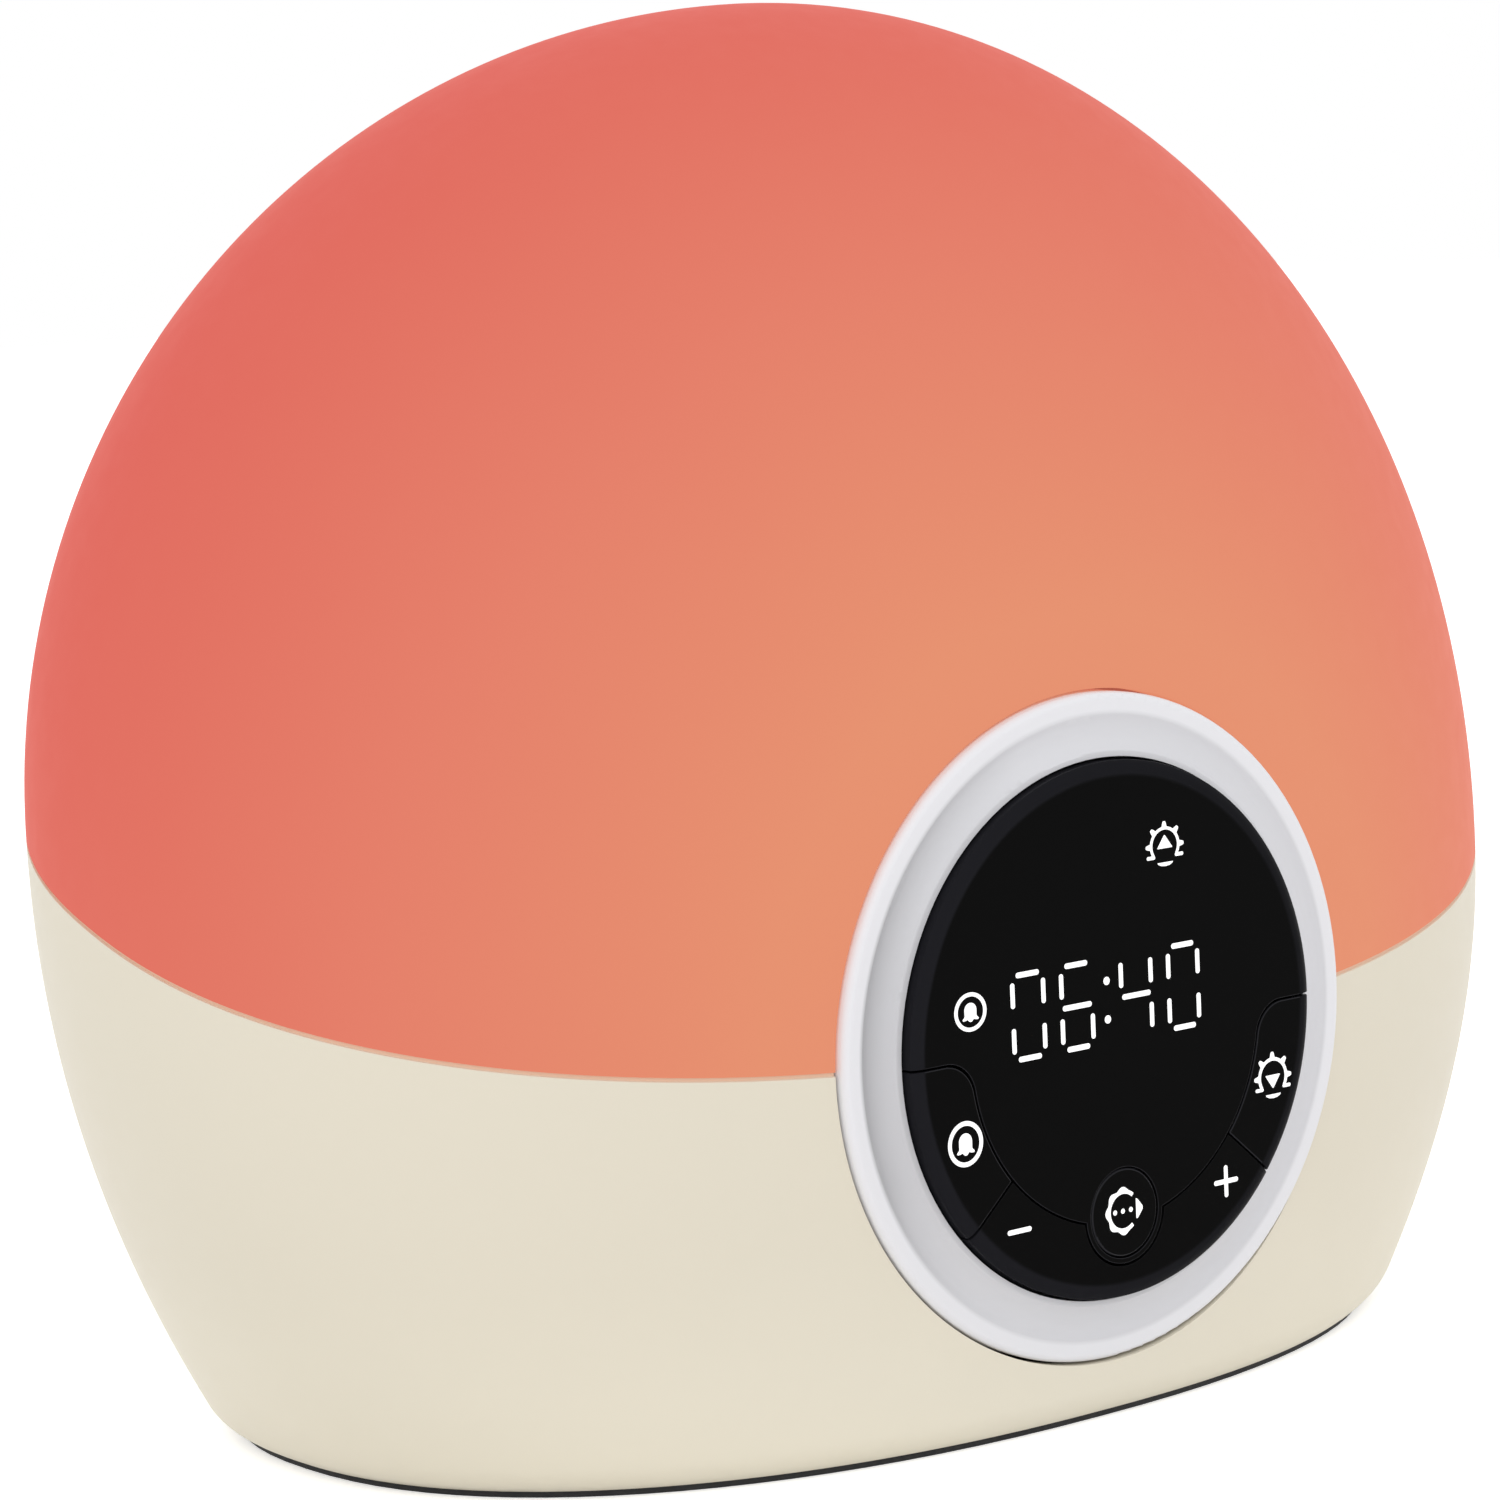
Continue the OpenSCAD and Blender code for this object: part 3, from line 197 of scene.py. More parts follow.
class ClockStageSettings(bpy.types.PropertyGroup):
    """Camera, floor and even light."""

    azimuth: angle("Azimuth", "Camera's turn round the clock, 0 is from the front", radians(-38.709))
    elevation: angle("Elevation", "Camera's angle above level", radians(7.066))
    roll: angle("Roll", "Camera's turn about its own axis", radians(-2.570))
    distance: length("Distance", "Camera to the point it looks at", 569.05 * MM, 0.1, 10.0)
    aim_height: length("Aim height", "Height of the point the camera looks at", 90 * MM)
    slide_right: length("Slide right", "Camera's slide to its right", -4.733 * MM, -1.0)
    slide_up: length("Slide up", "Camera's slide upwards", -19.192 * MM, -1.0)
    lens: FloatProperty(
        name="Lens", description="Focal length on a 36 mm sensor", default=118.668, min=10, max=500,
    )
    floor_colour: colour("Floor colour", "Colour of the floor", (0.95, 0.95, 0.95))
    floor_lift: share("Floor lift", "How much whiter the floor is seen than lit", 0.48)
    ambient: share("Ambient", "Strength of the even light", 0.85, 5.0)


# ---------- Shape helpers ----------


def new_piece(name, mesh, look, replaced=(), body="clock"):
    """Links a finished mesh as a piece that rides on a body."""
    piece = bpy.data.objects.new(name, mesh)
    bpy.context.scene.collection.objects.link(piece)
    mesh.materials.clear()
    mesh.materials.append(finish(look))
    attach(piece, body)
    if replaced:
        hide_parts(*replaced)
    return piece


def second_finish(mesh, look, chosen):
    """Gives the faces whose centre and normal are chosen another finish."""
    mesh.materials.append(finish(look))
    for face in mesh.polygons:
        if chosen(face.center, face.normal):
            face.material_index = len(mesh.materials) - 1


def mesh_from(bm, name):
    """Turns a bmesh into a mesh with its faces outward."""
    bmesh.ops.remove_doubles(bm, verts=bm.verts, dist=1e-7)
    bmesh.ops.recalc_face_normals(bm, faces=bm.faces)
    mesh = bpy.data.meshes.new(name)
    bm.to_mesh(mesh)
    bm.free()
    return mesh


def smooth(mesh, sharp_from=radians(30)):
    """Smooth shading with the edges above an angle kept sharp."""
    mesh.shade_smooth()
    mesh.set_sharp_from_angle(angle=sharp_from)
    return mesh


def applied(mesh, name, kind, setup):
    """The plain mesh that a modifier makes of a mesh."""
    holder = bpy.data.objects.new(name + "_maker", mesh)
    bpy.context.scene.collection.objects.link(holder)
    setup(holder.modifiers.new("Maker", kind))
    bpy.context.view_layer.update()
    depsgraph = bpy.context.evaluated_depsgraph_get()
    made = bpy.data.meshes.new_from_object(holder.evaluated_get(depsgraph), depsgraph=depsgraph)
    made.name = name
    bpy.data.objects.remove(holder)
    if len(made.polygons) == 0:
        raise RuntimeError(f"{kind} made no faces for {name}")
    return made


def evaluated_mesh(tree, name, source=None, settings=None, **sizes):
    """Runs a Geometry Nodes tree with sizes from settings and by name, and returns the plain mesh."""

    def setup(modifier):
        modifier.node_group = tree
        for item in tree.interface.items_tree:
            if item.in_out == "INPUT" and item.name != "Geometry":
                key = item.name.lower().replace(" ", "_")
                modifier[item.identifier] = sizes[key] if key in sizes else getattr(settings, key)

    return applied(source or bpy.data.meshes.new(name + "_start"), name, "NODES", setup)


def outward(mesh):
    """Turns the faces round if the closed mesh is inside out."""
    bm = bmesh.new()
    bm.from_mesh(mesh)
    if bm.calc_volume(signed=True) < 0:
        bmesh.ops.reverse_faces(bm, faces=bm.faces)
    bm.to_mesh(mesh)
    bm.free()
    return mesh


def joined_groups(mesh):
    """The points of each joined-up part of a CAD mesh."""
    bm = bmesh.new()
    bm.from_mesh(mesh)
    bmesh.ops.remove_doubles(bm, verts=bm.verts, dist=WELD)
    groups, seen = [], set()
    for start in bm.verts:
        if start in seen:
            continue
        seen.add(start)
        group, waiting = [], [start]
        while waiting:
            vertex = waiting.pop()
            group.append(vertex.co.copy())
            near = [e.other_vert(vertex) for e in vertex.link_edges]
            fresh = [v for v in near if v not in seen]
            seen.update(fresh)
            waiting.extend(fresh)
        groups.append(group)
    bm.free()
    return groups


def solid(bm, rings, closed=True):
    """A solid through rings of points, either closed up again or capped at both ends."""
    rows = [[bm.verts.new(point) for point in ring] for ring in rings]
    for here, there in zip(rows, rows[1:] + rows[:1] if closed else rows[1:]):
        for i in range(len(here)):
            bm.faces.new((here[i - 1], here[i], there[i], there[i - 1]))
    if not closed:
        bm.faces.new(rows[0])
        bm.faces.new(rows[-1])


def turned(bm, profile, place, sides=48):
    """Turns a closed profile of (radius, height) points round the Z axis of a place."""
    turns = [2 * pi * i / sides for i in range(sides)]
    solid(bm, [[place @ Vector((r * cos(a), r * sin(a), h)) for r, h in profile] for a in turns])


def plate(bm, outline, half, place=None):
    """A flat plate from a closed outline, to both sides of a place."""
    place = place or Matrix.Identity(4)
    solid(bm, [[place @ Vector((u, v, w)) for u, v in outline] for w in (-half, half)], closed=False)


# ---------- Node tree helpers ----------


class Term:
    """An output in a node tree. Sums of terms write maths nodes."""

    def __init__(self, tree, socket):
        self.tree = tree
        self.socket = socket

    def maths(self, operation, *others):
        return node(self.tree, "ShaderNodeMath", dict(enumerate((self, *others))), operation=operation)

    def __add__(self, other):
        return self.maths("ADD", other)

    __radd__ = __add__

    def __mul__(self, other):
        return self.maths("MULTIPLY", other)

    __rmul__ = __mul__

    def __sub__(self, other):
        return self.maths("SUBTRACT", other)

    def __rsub__(self, other):
        return (self * -1.0) + other

    def __truediv__(self, other):
        return self.maths("DIVIDE", other)

    def __pow__(self, other):
        return self.maths("POWER", other)

    def clamped(self, low=0.0, high=1.0):
        return self.maths("MAXIMUM", low).maths("MINIMUM", high)


def new_tree(name, floats=(), counts=()):
    """A Geometry Nodes tree with named inputs. Returns the tree, its exit and its terms."""
    tree = bpy.data.node_groups.new(name, "GeometryNodeTree")
    for labels, kind in ((("Geometry",), "Geometry"), (floats, "Float"), (counts, "Int")):
        for label in labels:
            tree.interface.new_socket(label, in_out="INPUT", socket_type="NodeSocket" + kind)
    tree.interface.new_socket("Geometry", in_out="OUTPUT", socket_type="NodeSocketGeometry")
    entry = tree.nodes.new("NodeGroupInput")
    leave = tree.nodes.new("NodeGroupOutput").inputs["Geometry"]
    return tree, leave, {label: Term(tree, entry.outputs[label]) for label in ("Geometry", *floats, *counts)}


def node(tree, kind, inputs=None, **settings):
    """Adds a node, sets it and joins or fills its inputs by name or number. Returns its first output."""
    made = tree.nodes.new(kind)
    for key, value in settings.items():
        setattr(made, key, value)
    for key, value in (inputs or {}).items():
        for item in value if isinstance(value, list) else [value]:
            if isinstance(item, Term):
                tree.links.new(item.socket, made.inputs[key])
            else:
                made.inputs[key].default_value = item
    return Term(tree, made.outputs[0])


def finish_tree(tree, leave, geometry, look):
    """Ends a tree in Realize Instances and Set Material."""
    real = node(tree, "GeometryNodeRealizeInstances", {"Geometry": geometry})
    last = node(tree, "GeometryNodeSetMaterial", {"Geometry": real, "Material": finish(look)})
    tree.links.new(last.socket, leave)
    return tree


def point_of(tree, x, y, z):
    """A point from three terms."""
    return node(tree, "ShaderNodeCombineXYZ", {0: x, 1: y, 2: z})


def parts_of(tree, vector):
    """The three terms of a vector."""
    x = node(tree, "ShaderNodeSeparateXYZ", {0: vector})
    return [Term(tree, output) for output in x.socket.node.outputs]


def stored(tree, name, kind="FLOAT"):
    """A named value that the points carry."""
    return node(tree, "GeometryNodeInputNamedAttribute", {"Name": name}, data_type=kind)


def oval(turn, width, depth, power):
    """A point of a rounded oblong at an angle, as two terms."""
    bend = (power / 2.0) ** -1.0

    def along(wave, size):
        return wave.maths("SIGN") * (wave.maths("ABSOLUTE") ** bend) * size * 0.5

    return along(turn.maths("COSINE"), width), along(turn.maths("SINE"), depth)


def turning_grid(tree, around, rows):
    """A grid whose columns go round and whose rows follow a profile. Returns the grid, angle and row."""
    grid = node(tree, "GeometryNodeMeshGrid", {
        "Size X": 1.0, "Size Y": 1.0, "Vertices X": around + 1.0, "Vertices Y": rows,
    })
    x, y, _ = parts_of(tree, node(tree, "GeometryNodeInputPosition"))
    return grid, (x + 0.5) * (2 * pi), (y + 0.5) * (rows - 1.0)


def closed_shape(tree, grid, x, y, z):
    """Puts a grid's points in place and closes its seam and poles."""
    put = node(tree, "GeometryNodeSetPosition", {"Geometry": grid, "Position": point_of(tree, x, y, z)})
    return node(tree, "GeometryNodeMergeByDistance", {"Geometry": put, "Distance": WELD})


def cylinder(tree, sides, radius, depth):
    """A closed cylinder round Z."""
    sizes = {"Vertices": sides, "Radius": radius, "Depth": depth}
    return node(tree, "GeometryNodeMeshCylinder", sizes, fill_type="NGON")


def moved(tree, geometry, **places):
    """Geometry with a Translation, Rotation or Scale."""
    return node(tree, "GeometryNodeTransform", {"Geometry": geometry, **places})


def minus(tree, geometry, tools):
    """What is left of a solid once its tools are cut away."""
    return node(tree, "GeometryNodeMeshBoolean", {0: geometry, 1: tools}, operation="DIFFERENCE", solver="EXACT")


def cut_for_panel(tree, geometry, radius):
    """Cuts the round opening in which the control panel stands."""
    panel = bpy.context.scene.clock_panel
    sides, reach, ahead = 288, 50 * MM, 5 * MM
    return minus(tree, geometry, moved(
        tree, cylinder(tree, sides, radius, reach),
        Translation=(0, ahead - panel.face, panel.level), Rotation=(pi / 2 - panel.lean, 0, 0),
    ))


def opening_radius():
    """Radius of the body's opening round the white ring."""
    panel = bpy.context.scene.clock_panel
    return panel.disc_radius + panel.ring_width + 2 * panel.edge_gap


# ---------- Finishes ----------


class Finish:
    """A node material that starts from one shader and gets its detail from object coordinates."""

    def __init__(self, name):
        self.material = bpy.data.materials.new(name)
        self.material.use_nodes = True
        self.tree = self.material.node_tree
        self.shader = next(n for n in self.tree.nodes if n.type == "BSDF_PRINCIPLED")
        self.place = Term(self.tree, self.tree.nodes.new("ShaderNodeTexCoord").outputs["Object"])

    def set(self, **values):
        """Fills inputs of the shader and hands over the material."""
        for key, value in values.items():
            slot = self.shader.inputs[key.replace("_", " ")]
            slot.default_value = (*value, 1.0) if isinstance(value, tuple) else value
        return self.material

    def noise(self, size, detail=3.0, rough=0.5, stretch=(1, 1, 1)):
        """Noise whose features are about size metres across."""
        mapping = node(self.tree, "ShaderNodeMapping", {"Vector": self.place, "Scale": stretch})
        return node(self.tree, "ShaderNodeTexNoise", {
            "Vector": mapping, "Scale": 1.0 / size, "Detail": detail, "Roughness": rough,
        })

    def ramp(self, value, *stops):
        """A colour ramp with (position, colour) stops."""
        colours = node(self.tree, "ShaderNodeValToRGB", {"Fac": value})
        ramp = colours.socket.node.color_ramp
        ramp.interpolation = "EASE" if len(stops) == 2 else "LINEAR"
        while len(ramp.elements) < len(stops):
            ramp.elements.new(0.5)
        for element, (position, tint) in zip(ramp.elements, stops):
            element.position = position
            element.color = (*tint, 1.0)
        return colours

    def spread(self, value, low, high, start=0.3, end=0.7):
        """Maps a value to a range. The start and end suit noise."""
        return node(self.tree, "ShaderNodeMapRange", {
            "Value": value, "From Min": start, "From Max": end, "To Min": low, "To Max": high,
        })

    def link(self, output, name):
        self.tree.links.new(output.socket, self.shader.inputs[name])

    def tint(self, value, *stops):
        """Colours the shader by a ramp."""
        self.link(self.ramp(value, *stops), "Base Color")

    def sheen(self, noise, low, high):
        """Varies the roughness with noise."""
        self.link(self.spread(noise, low, high), "Roughness")

    def bump(self, *layers):
        """Fine relief, as (height output, distance in metres, strength) layers."""
        normal = {}
        for height, distance, strength in layers:
            inputs = {"Height": height, "Distance": distance, "Strength": strength, **normal}
            normal = {"Normal": node(self.tree, "ShaderNodeBump", inputs)}
        self.link(normal["Normal"], "Normal")

    def satin(self, roughness, grain=0.25 * MM, relief=0.004 * MM, **shader):
        """The fine spark-eroded grain and uneven sheen of a moulding."""
        self.sheen(self.noise(2.5 * MM, 4.0), roughness - 0.035, roughness + 0.035)
        self.bump((self.noise(grain, 2.0), relief, 0.6), (self.noise(25 * MM, 1.0), 0.05 * MM, 0.12))
        return self.set(IOR=1.49, **shader)

    def from_panel(self):
        """How far right of, above and away from the panel's centre a point is."""
        x, _, z = parts_of(self.tree, self.place)
        up = z - bpy.context.scene.clock_panel.level
        return x, up, (x * x + up * up).maths("SQRT")


def vary(tint, amount):
    """Two neighbours of a colour for a soft mottle."""
    return tuple(v * (1 - amount) for v in tint), tuple(min(v * (1 + amount), 1) for v in tint)


def moulded(name, tint, roughness, grain=0.25 * MM, relief=0.004 * MM):
    """Moulded plastic with faint flow mottle."""
    made = Finish(name)
    made.tint(made.noise(18 * MM, 2.0), *zip((0.35, 0.65), vary(tint, 0.012)))
    return made.satin(roughness, grain, relief)


def metal(name, tint, roughness, stretch=(1, 1, 14)):
    """Plated or drawn metal with fine directional scratches."""
    made = Finish(name)
    lines = made.noise(0.5 * MM, 4.0, 0.6, stretch)
    made.tint(lines, *zip((0.3, 0.7), vary(tint, 0.05)))
    made.sheen(lines, roughness - 0.08, roughness + 0.1)
    made.bump((lines, 0.003 * MM, 0.5))
    return made.set(Metallic=1.0)


def lit_sign():
    """A lit sign behind a thin diffusing skin."""
    made = Finish("Lit sign")
    tints = vary(tuple(bpy.context.scene.clock_panel.sign_light), 0.02)
    made.link(made.ramp(made.noise(0.4 * MM, 2.0), *zip((0.3, 0.7), tints)), "Emission Color")
    return made.set(Base_Color=(0.3, 0.3, 0.3), Roughness=0.4, Emission_Strength=1.0)


def circuit_board(name, mask, copper):
    """Solder mask over copper tracks that run square to each other."""
    made = Finish(name)
    tracks = node(made.tree, "ShaderNodeTexVoronoi", {
        "Vector": made.place, "Scale": 1 / (3.2 * MM),
    }, distance="CHEBYCHEV", feature="F1")
    made.tint(tracks, (0.28, copper), (0.34, mask))
    made.bump((tracks, 0.02 * MM, 0.25), (made.noise(0.5 * MM), 0.003 * MM, 0.3))
    return made.set(Roughness=0.32)


def dome_finish():
    """Opal plastic lit from inside: the glow turns from orange by the panel to pink far from it."""
    body, panel = bpy.context.scene.clock_body, bpy.context.scene.clock_panel
    near, far = 45 * MM, 125 * MM
    made = Finish("Lit opal dome")
    centre = node(made.tree, "ShaderNodeMapping", {
        "Vector": made.place, "Location": (0, panel.face, -panel.level),
    })
    measured = node(made.tree, "ShaderNodeVectorMath", {0: centre}, operation="LENGTH")
    away = Term(made.tree, measured.socket.node.outputs["Value"])
    blend = made.spread(away, 0.0, 1.0, near, far) + made.spread(made.noise(30 * MM, 2.0), -0.012, 0.012)
    stops = list(zip((0.0, 0.5, 1.0), (body.glow_near, body.glow_mid, body.glow_far)))
    made.tint(blend, *((at, [v * (1 - body.glow_share) for v in tint]) for at, tint in stops))
    made.link(made.ramp(blend, *stops), "Emission Color")
    made.sheen(made.noise(3 * MM, 3.0), 0.56, 0.64)
    made.bump((made.noise(0.3 * MM, 2.0), 0.003 * MM, 0.5), (made.noise(40 * MM, 1.0), 0.05 * MM, 0.1))
    return made.set(Emission_Strength=body.glow_share, IOR=1.45, Specular_IOR_Level=0.1)


def polished_black(name, gloss, edge_only=False):
    """Polished black plastic with faint hazing. The disc's rounded edge is painted a shade paler as a painted
    reflection, brighter on the left as painted light from that side; with edge_only the whole surface takes the
    paler colour, a painted highlight for the keys' bevels.
    """
    panel = bpy.context.scene.clock_panel
    made = Finish(name)
    face, edge = tuple(panel.black), tuple(panel.black_edge)
    haze = made.noise(6 * MM, 2.0)
    if edge_only:
        # The paler edge colour all over: a painted highlight on the keys' bevels
        made.tint(haze, *zip((0.35, 0.65), vary(edge, 0.06)))
    else:
        x, _, away = made.from_panel()
        flat = panel.disc_radius - panel.disc_edge
        # Painted reflection: the disc's rounded edge is painted paler than the face
        rim = made.spread(away, 0.0, 1.0, flat - 0.3 * MM, flat + 0.2 * MM)
        # Painted light: the edge's painted reflection is brighter on the left than on the right
        side = made.spread(x, 1.0, 0.5, -panel.disc_radius, panel.disc_radius)
        made.tint(rim * side * made.spread(haze, 0.94, 1.06), (0.0, face), (1.0, edge))
    made.sheen(made.noise(5 * MM, 4.0), 0.17, 0.23)
    made.bump((made.noise(20 * MM, 1.0), 0.02 * MM, 0.08), (made.noise(0.6 * MM, 3.0), 0.0008 * MM, 0.3))
    return made.set(IOR=1.49, Specular_IOR_Level=gloss)


def housing_finish():
    """Satin cream plastic, painted a little paler towards the floor as painted light that offsets the shade near
    the floor.
    """
    body = bpy.context.scene.clock_body
    made = Finish("Satin cream housing")
    height, painted_light_to = parts_of(made.tree, made.place)[2], 30 * MM
    flow = made.spread(made.noise(18 * MM, 2.0), -0.08, 0.08)
    # Painted light: paler towards the floor, against the shade there
    made.tint(made.spread(height, 0.0, 1.0, 0.0, painted_light_to) + flow, (0.0, body.cream_low), (1.0, body.cream))
    return made.satin(0.475, Specular_IOR_Level=0.3)


def ring_finish():
    """Satin white plastic whose dish is painted with shade inside its lip, and with deeper painted shade on the
    left that fades out towards the bottom.
    """
    panel = bpy.context.scene.clock_panel
    made = Finish("Satin white ring")
    white, shade = tuple(panel.ring_white), tuple(panel.ring_shade)
    x, up, away = made.from_panel()
    lip_width, painted_shade_across, painted_shade_up = 1.9 * MM, (-34 * MM, -10 * MM), (-32 * MM, -12 * MM)
    lip = panel.disc_radius + panel.edge_gap + panel.ring_width - lip_width
    across = made.spread(away, 0.0, 1.0, panel.disc_radius, lip)
    # Painted shade: the dish is painted darker than the lip
    clear = made.ramp(across, (0.0, shade), (0.9, shade), (1.0, white))
    inner = [v * 0.9 for v in shade]
    # Deeper painted shade, darkest just inside the lip
    shaded = made.ramp(across, (0.0, inner), (0.9, tuple(panel.ring_deep)), (1.0, white))
    # Painted shade mask: strongest on the left, fading out to the right and towards the bottom
    left = made.spread(x, 1.0, 0.0, *painted_shade_across) * made.spread(up, 0.0, 1.0, *painted_shade_up)
    made.link(node(made.tree, "ShaderNodeMixRGB", {"Fac": left, "Color1": clear, "Color2": shaded}), "Base Color")
    return made.satin(0.405, Specular_IOR_Level=0.35)


FINISHES = {}
MAKERS = {
    "dome": (dome_finish,),
    "housing": (housing_finish,),
    "ring": (ring_finish,),
    "sign": (lit_sign,),
    "seal": (lambda: moulded("Seam seal", tuple(bpy.context.scene.clock_body.seal_colour), 0.5),),
    # The black face carries a painted reflection on its rounded edge; the paler black edge finish is a painted
    # highlight with real gloss
    "black": (polished_black, "Polished black face", 0.015),
    "black_edge": (polished_black, "Polished black edge", 0.12, True),
    "dark_plastic": (moulded, "Dark textured plastic", (0.018, 0.018, 0.020), 0.6, 0.35 * MM, 0.02 * MM),
    "foot_rubber": (moulded, "Foot rubber", (0.010, 0.010, 0.011), 0.72, 0.5 * MM, 0.03 * MM),
    "silicone": (moulded, "Silicone mat", (0.46, 0.46, 0.44), 0.55, 0.4 * MM, 0.01 * MM),
    "led_lens": (moulded, "LED lens", (0.86, 0.86, 0.80), 0.22, 0.3 * MM, 0.002 * MM),
    "phosphor": (moulded, "LED phosphor", (0.86, 0.62, 0.10), 0.35, 0.15 * MM, 0.006 * MM),
    "white_plastic": (moulded, "White inner plastic", (0.80, 0.80, 0.77), 0.45),
    "can_sleeve": (moulded, "Sleeved can", (0.028, 0.034, 0.065), 0.35, 0.4 * MM, 0.003 * MM),
    "paper_cone": (moulded, "Paper cone", (0.06, 0.055, 0.05), 0.85, 0.5 * MM, 0.05 * MM),
    "ribbon": (moulded, "Ribbon cable", (0.34, 0.34, 0.38), 0.42, 0.6 * MM, 0.02 * MM),
    "lead_red": (moulded, "Red lead", (0.42, 0.010, 0.006), 0.36, 0.5 * MM, 0.004 * MM),
    "circuit_board": (circuit_board, "Green solder mask", (0.006, 0.075, 0.028), (0.02, 0.15, 0.055)),
    "lamp_circuit": (circuit_board, "White solder mask", (0.78, 0.78, 0.74), (0.68, 0.68, 0.64)),
    "screw_steel": (metal, "Plated steel", (0.62, 0.62, 0.64), 0.32),
    "contact_metal": (metal, "Nickel contact", (0.72, 0.70, 0.64), 0.24, (1, 14, 1)),
    "heat_aluminium": (metal, "Extruded aluminium", (0.80, 0.81, 0.82), 0.38, (14, 1, 1)),
    "can_metal": (metal, "Drawn can", (0.78, 0.78, 0.79), 0.3, (6, 6, 1)),
}


def finish(look):
    """A finish by name, made once."""
    if look not in FINISHES:
        maker, *values = MAKERS[look]
        FINISHES[look] = maker(*values)
    return FINISHES[look]


# ---------- Dome and housing ----------


def dome_tree():
    """The dome's rule: the seam's outline shrinks and rises along a quarter turn, outside and inside."""
    tree, leave, t = new_tree("Dome rule", (
        "Width", "Depth", "Height", "Seam power", "Seam level", "Seam slope", "Apex back", "Wall",
        "Seam groove", "Hole radius",
    ), ("Around", "Dome steps"))
    steps = t["Dome steps"] * 1.0
    inner = (steps * 0.5).maths("CEIL")
    grid, turn, row = turning_grid(tree, t["Around"], steps + inner + 2.0)
    rise = (((steps - row) / steps).clamped() + ((row - steps - 1.0) / inner).clamped()) * (pi / 2)
    inset = (row - steps).clamped() * t["Wall"]
    x, y = oval(turn, t["Width"] - inset * 2.0, t["Depth"] - inset * 2.0, t["Seam power"])
    start = t["Seam level"] + y * t["Seam slope"] + t["Seam groove"]
    c, s = rise.maths("COSINE"), rise.maths("SINE")
    height = start + (t["Height"] - inset - start) * s
    shape = closed_shape(tree, grid, x * c, y * c + t["Apex back"] * (1.0 - c), height)
    return finish_tree(tree, leave, cut_for_panel(tree, shape, t["Hole radius"]), "dome")


def housing_tree():
    """The housing's rule: the seam's outline draws in to the floor's outline, then rounds under."""
    tree, leave, t = new_tree("Housing rule", (
        "Width", "Depth", "Seam power", "Seam level", "Seam slope", "Wall", "Foot width", "Foot depth",
        "Foot power", "Side draft", "Side bow", "Foot round", "Foot lift", "Hole radius", "Socket radius",
    ), ("Around", "Side steps"))
    steps = t["Side steps"] * 1.0
    bends = 8.0
    last = steps + bends
    grid, turn, row = turning_grid(tree, t["Around"], last * 2.0 + 3.0)
    down = row.maths("MINIMUM", last * 2.0 + 1.0 - row).maths("MAXIMUM", 0.0)
    inset = (row - last).clamped() * ((last * 2.0 + 2.0) - row).clamped() * t["Wall"]
    _, rim_y = oval(turn, t["Width"] - inset * 2.0, t["Depth"] - inset * 2.0, t["Seam power"])
    top = t["Seam level"] + rim_y * t["Seam slope"]
    radius = t["Foot round"]
    z = top + (radius - top) * (down / steps).clamped()
    z = z - (radius - t["Foot lift"]) * ((down - steps) / bends).clamped()
    dip = (radius - z).maths("MAXIMUM", 0.0)
    edge = radius - (radius * radius - dip * dip).maths("MAXIMUM", 0.0).maths("SQRT")
    shrink = (inset + edge) * 2.0
    sx, sy = oval(turn, t["Width"] - shrink, t["Depth"] - shrink, t["Seam power"])
    fx, fy = oval(turn, t["Foot width"] - shrink, t["Foot depth"] - shrink, t["Foot power"])
    drop = (1.0 - z / (t["Seam level"] + sy * t["Seam slope"])).maths("MAXIMUM", 0.0)
    reach = 1.0 - t["Side draft"] * drop - (1.0 - t["Side draft"]) * (drop ** t["Side bow"])
    shape = closed_shape(tree, grid, fx + (sx - fx) * reach, fy + (sy - fy) * reach, z)
    shape = cut_for_panel(tree, shape, t["Hole radius"])
    sides, behind, through = 64, 4 * MM, 30 * MM
    drill = moved(
        tree, cylinder(tree, sides, t["Socket radius"], through), Rotation=(pi / 2, 0, 0),
        Translation=(0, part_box("dc_jack")[1].y + behind, MOUNTS["dc_inlet_pin"].z),
    )
    return finish_tree(tree, leave, minus(tree, shape, drill), "housing")


def opened(bm, name, look):
    """A ring of the body with the panel's opening cut through it."""
    tree, leave, t = new_tree("Panel opening", ("Hole radius",))
    finish_tree(tree, leave, cut_for_panel(tree, t["Geometry"], t["Hole radius"]), look)
    return outward(evaluated_mesh(tree, name, mesh_from(bm, name + "_start"), hole_radius=opening_radius()))


def oval_at(a, width, depth, power):
    """A point of a rounded oblong at an angle."""
    def along(wave, size):
        return size / 2 * abs(wave) ** (2 / power) * (1 if wave > 0 else -1)

    return along(cos(a), width), along(sin(a), depth)


def seam_height(body, y):
    """Height of the sloping seam at a depth."""
    return body.seam_level + y * tan(body.seam_tilt)


def seam_ring(body, inset, lift):
    """Points round the seam's outline, lifted off the seam."""
    points = []
    for i in range(body.around):
        a = 2 * pi * i / body.around
        x, y = oval_at(a, body.width - 2 * inset, body.depth - 2 * inset, body.seam_power)
        points.append((x, y, seam_height(body, y) + lift))
    return points


def taper(body, drop):
    """Share of the way from the floor's outline to the seam's outline."""
    return 1 - body.side_draft * drop - (1 - body.side_draft) * max(drop, 0) ** body.side_bow


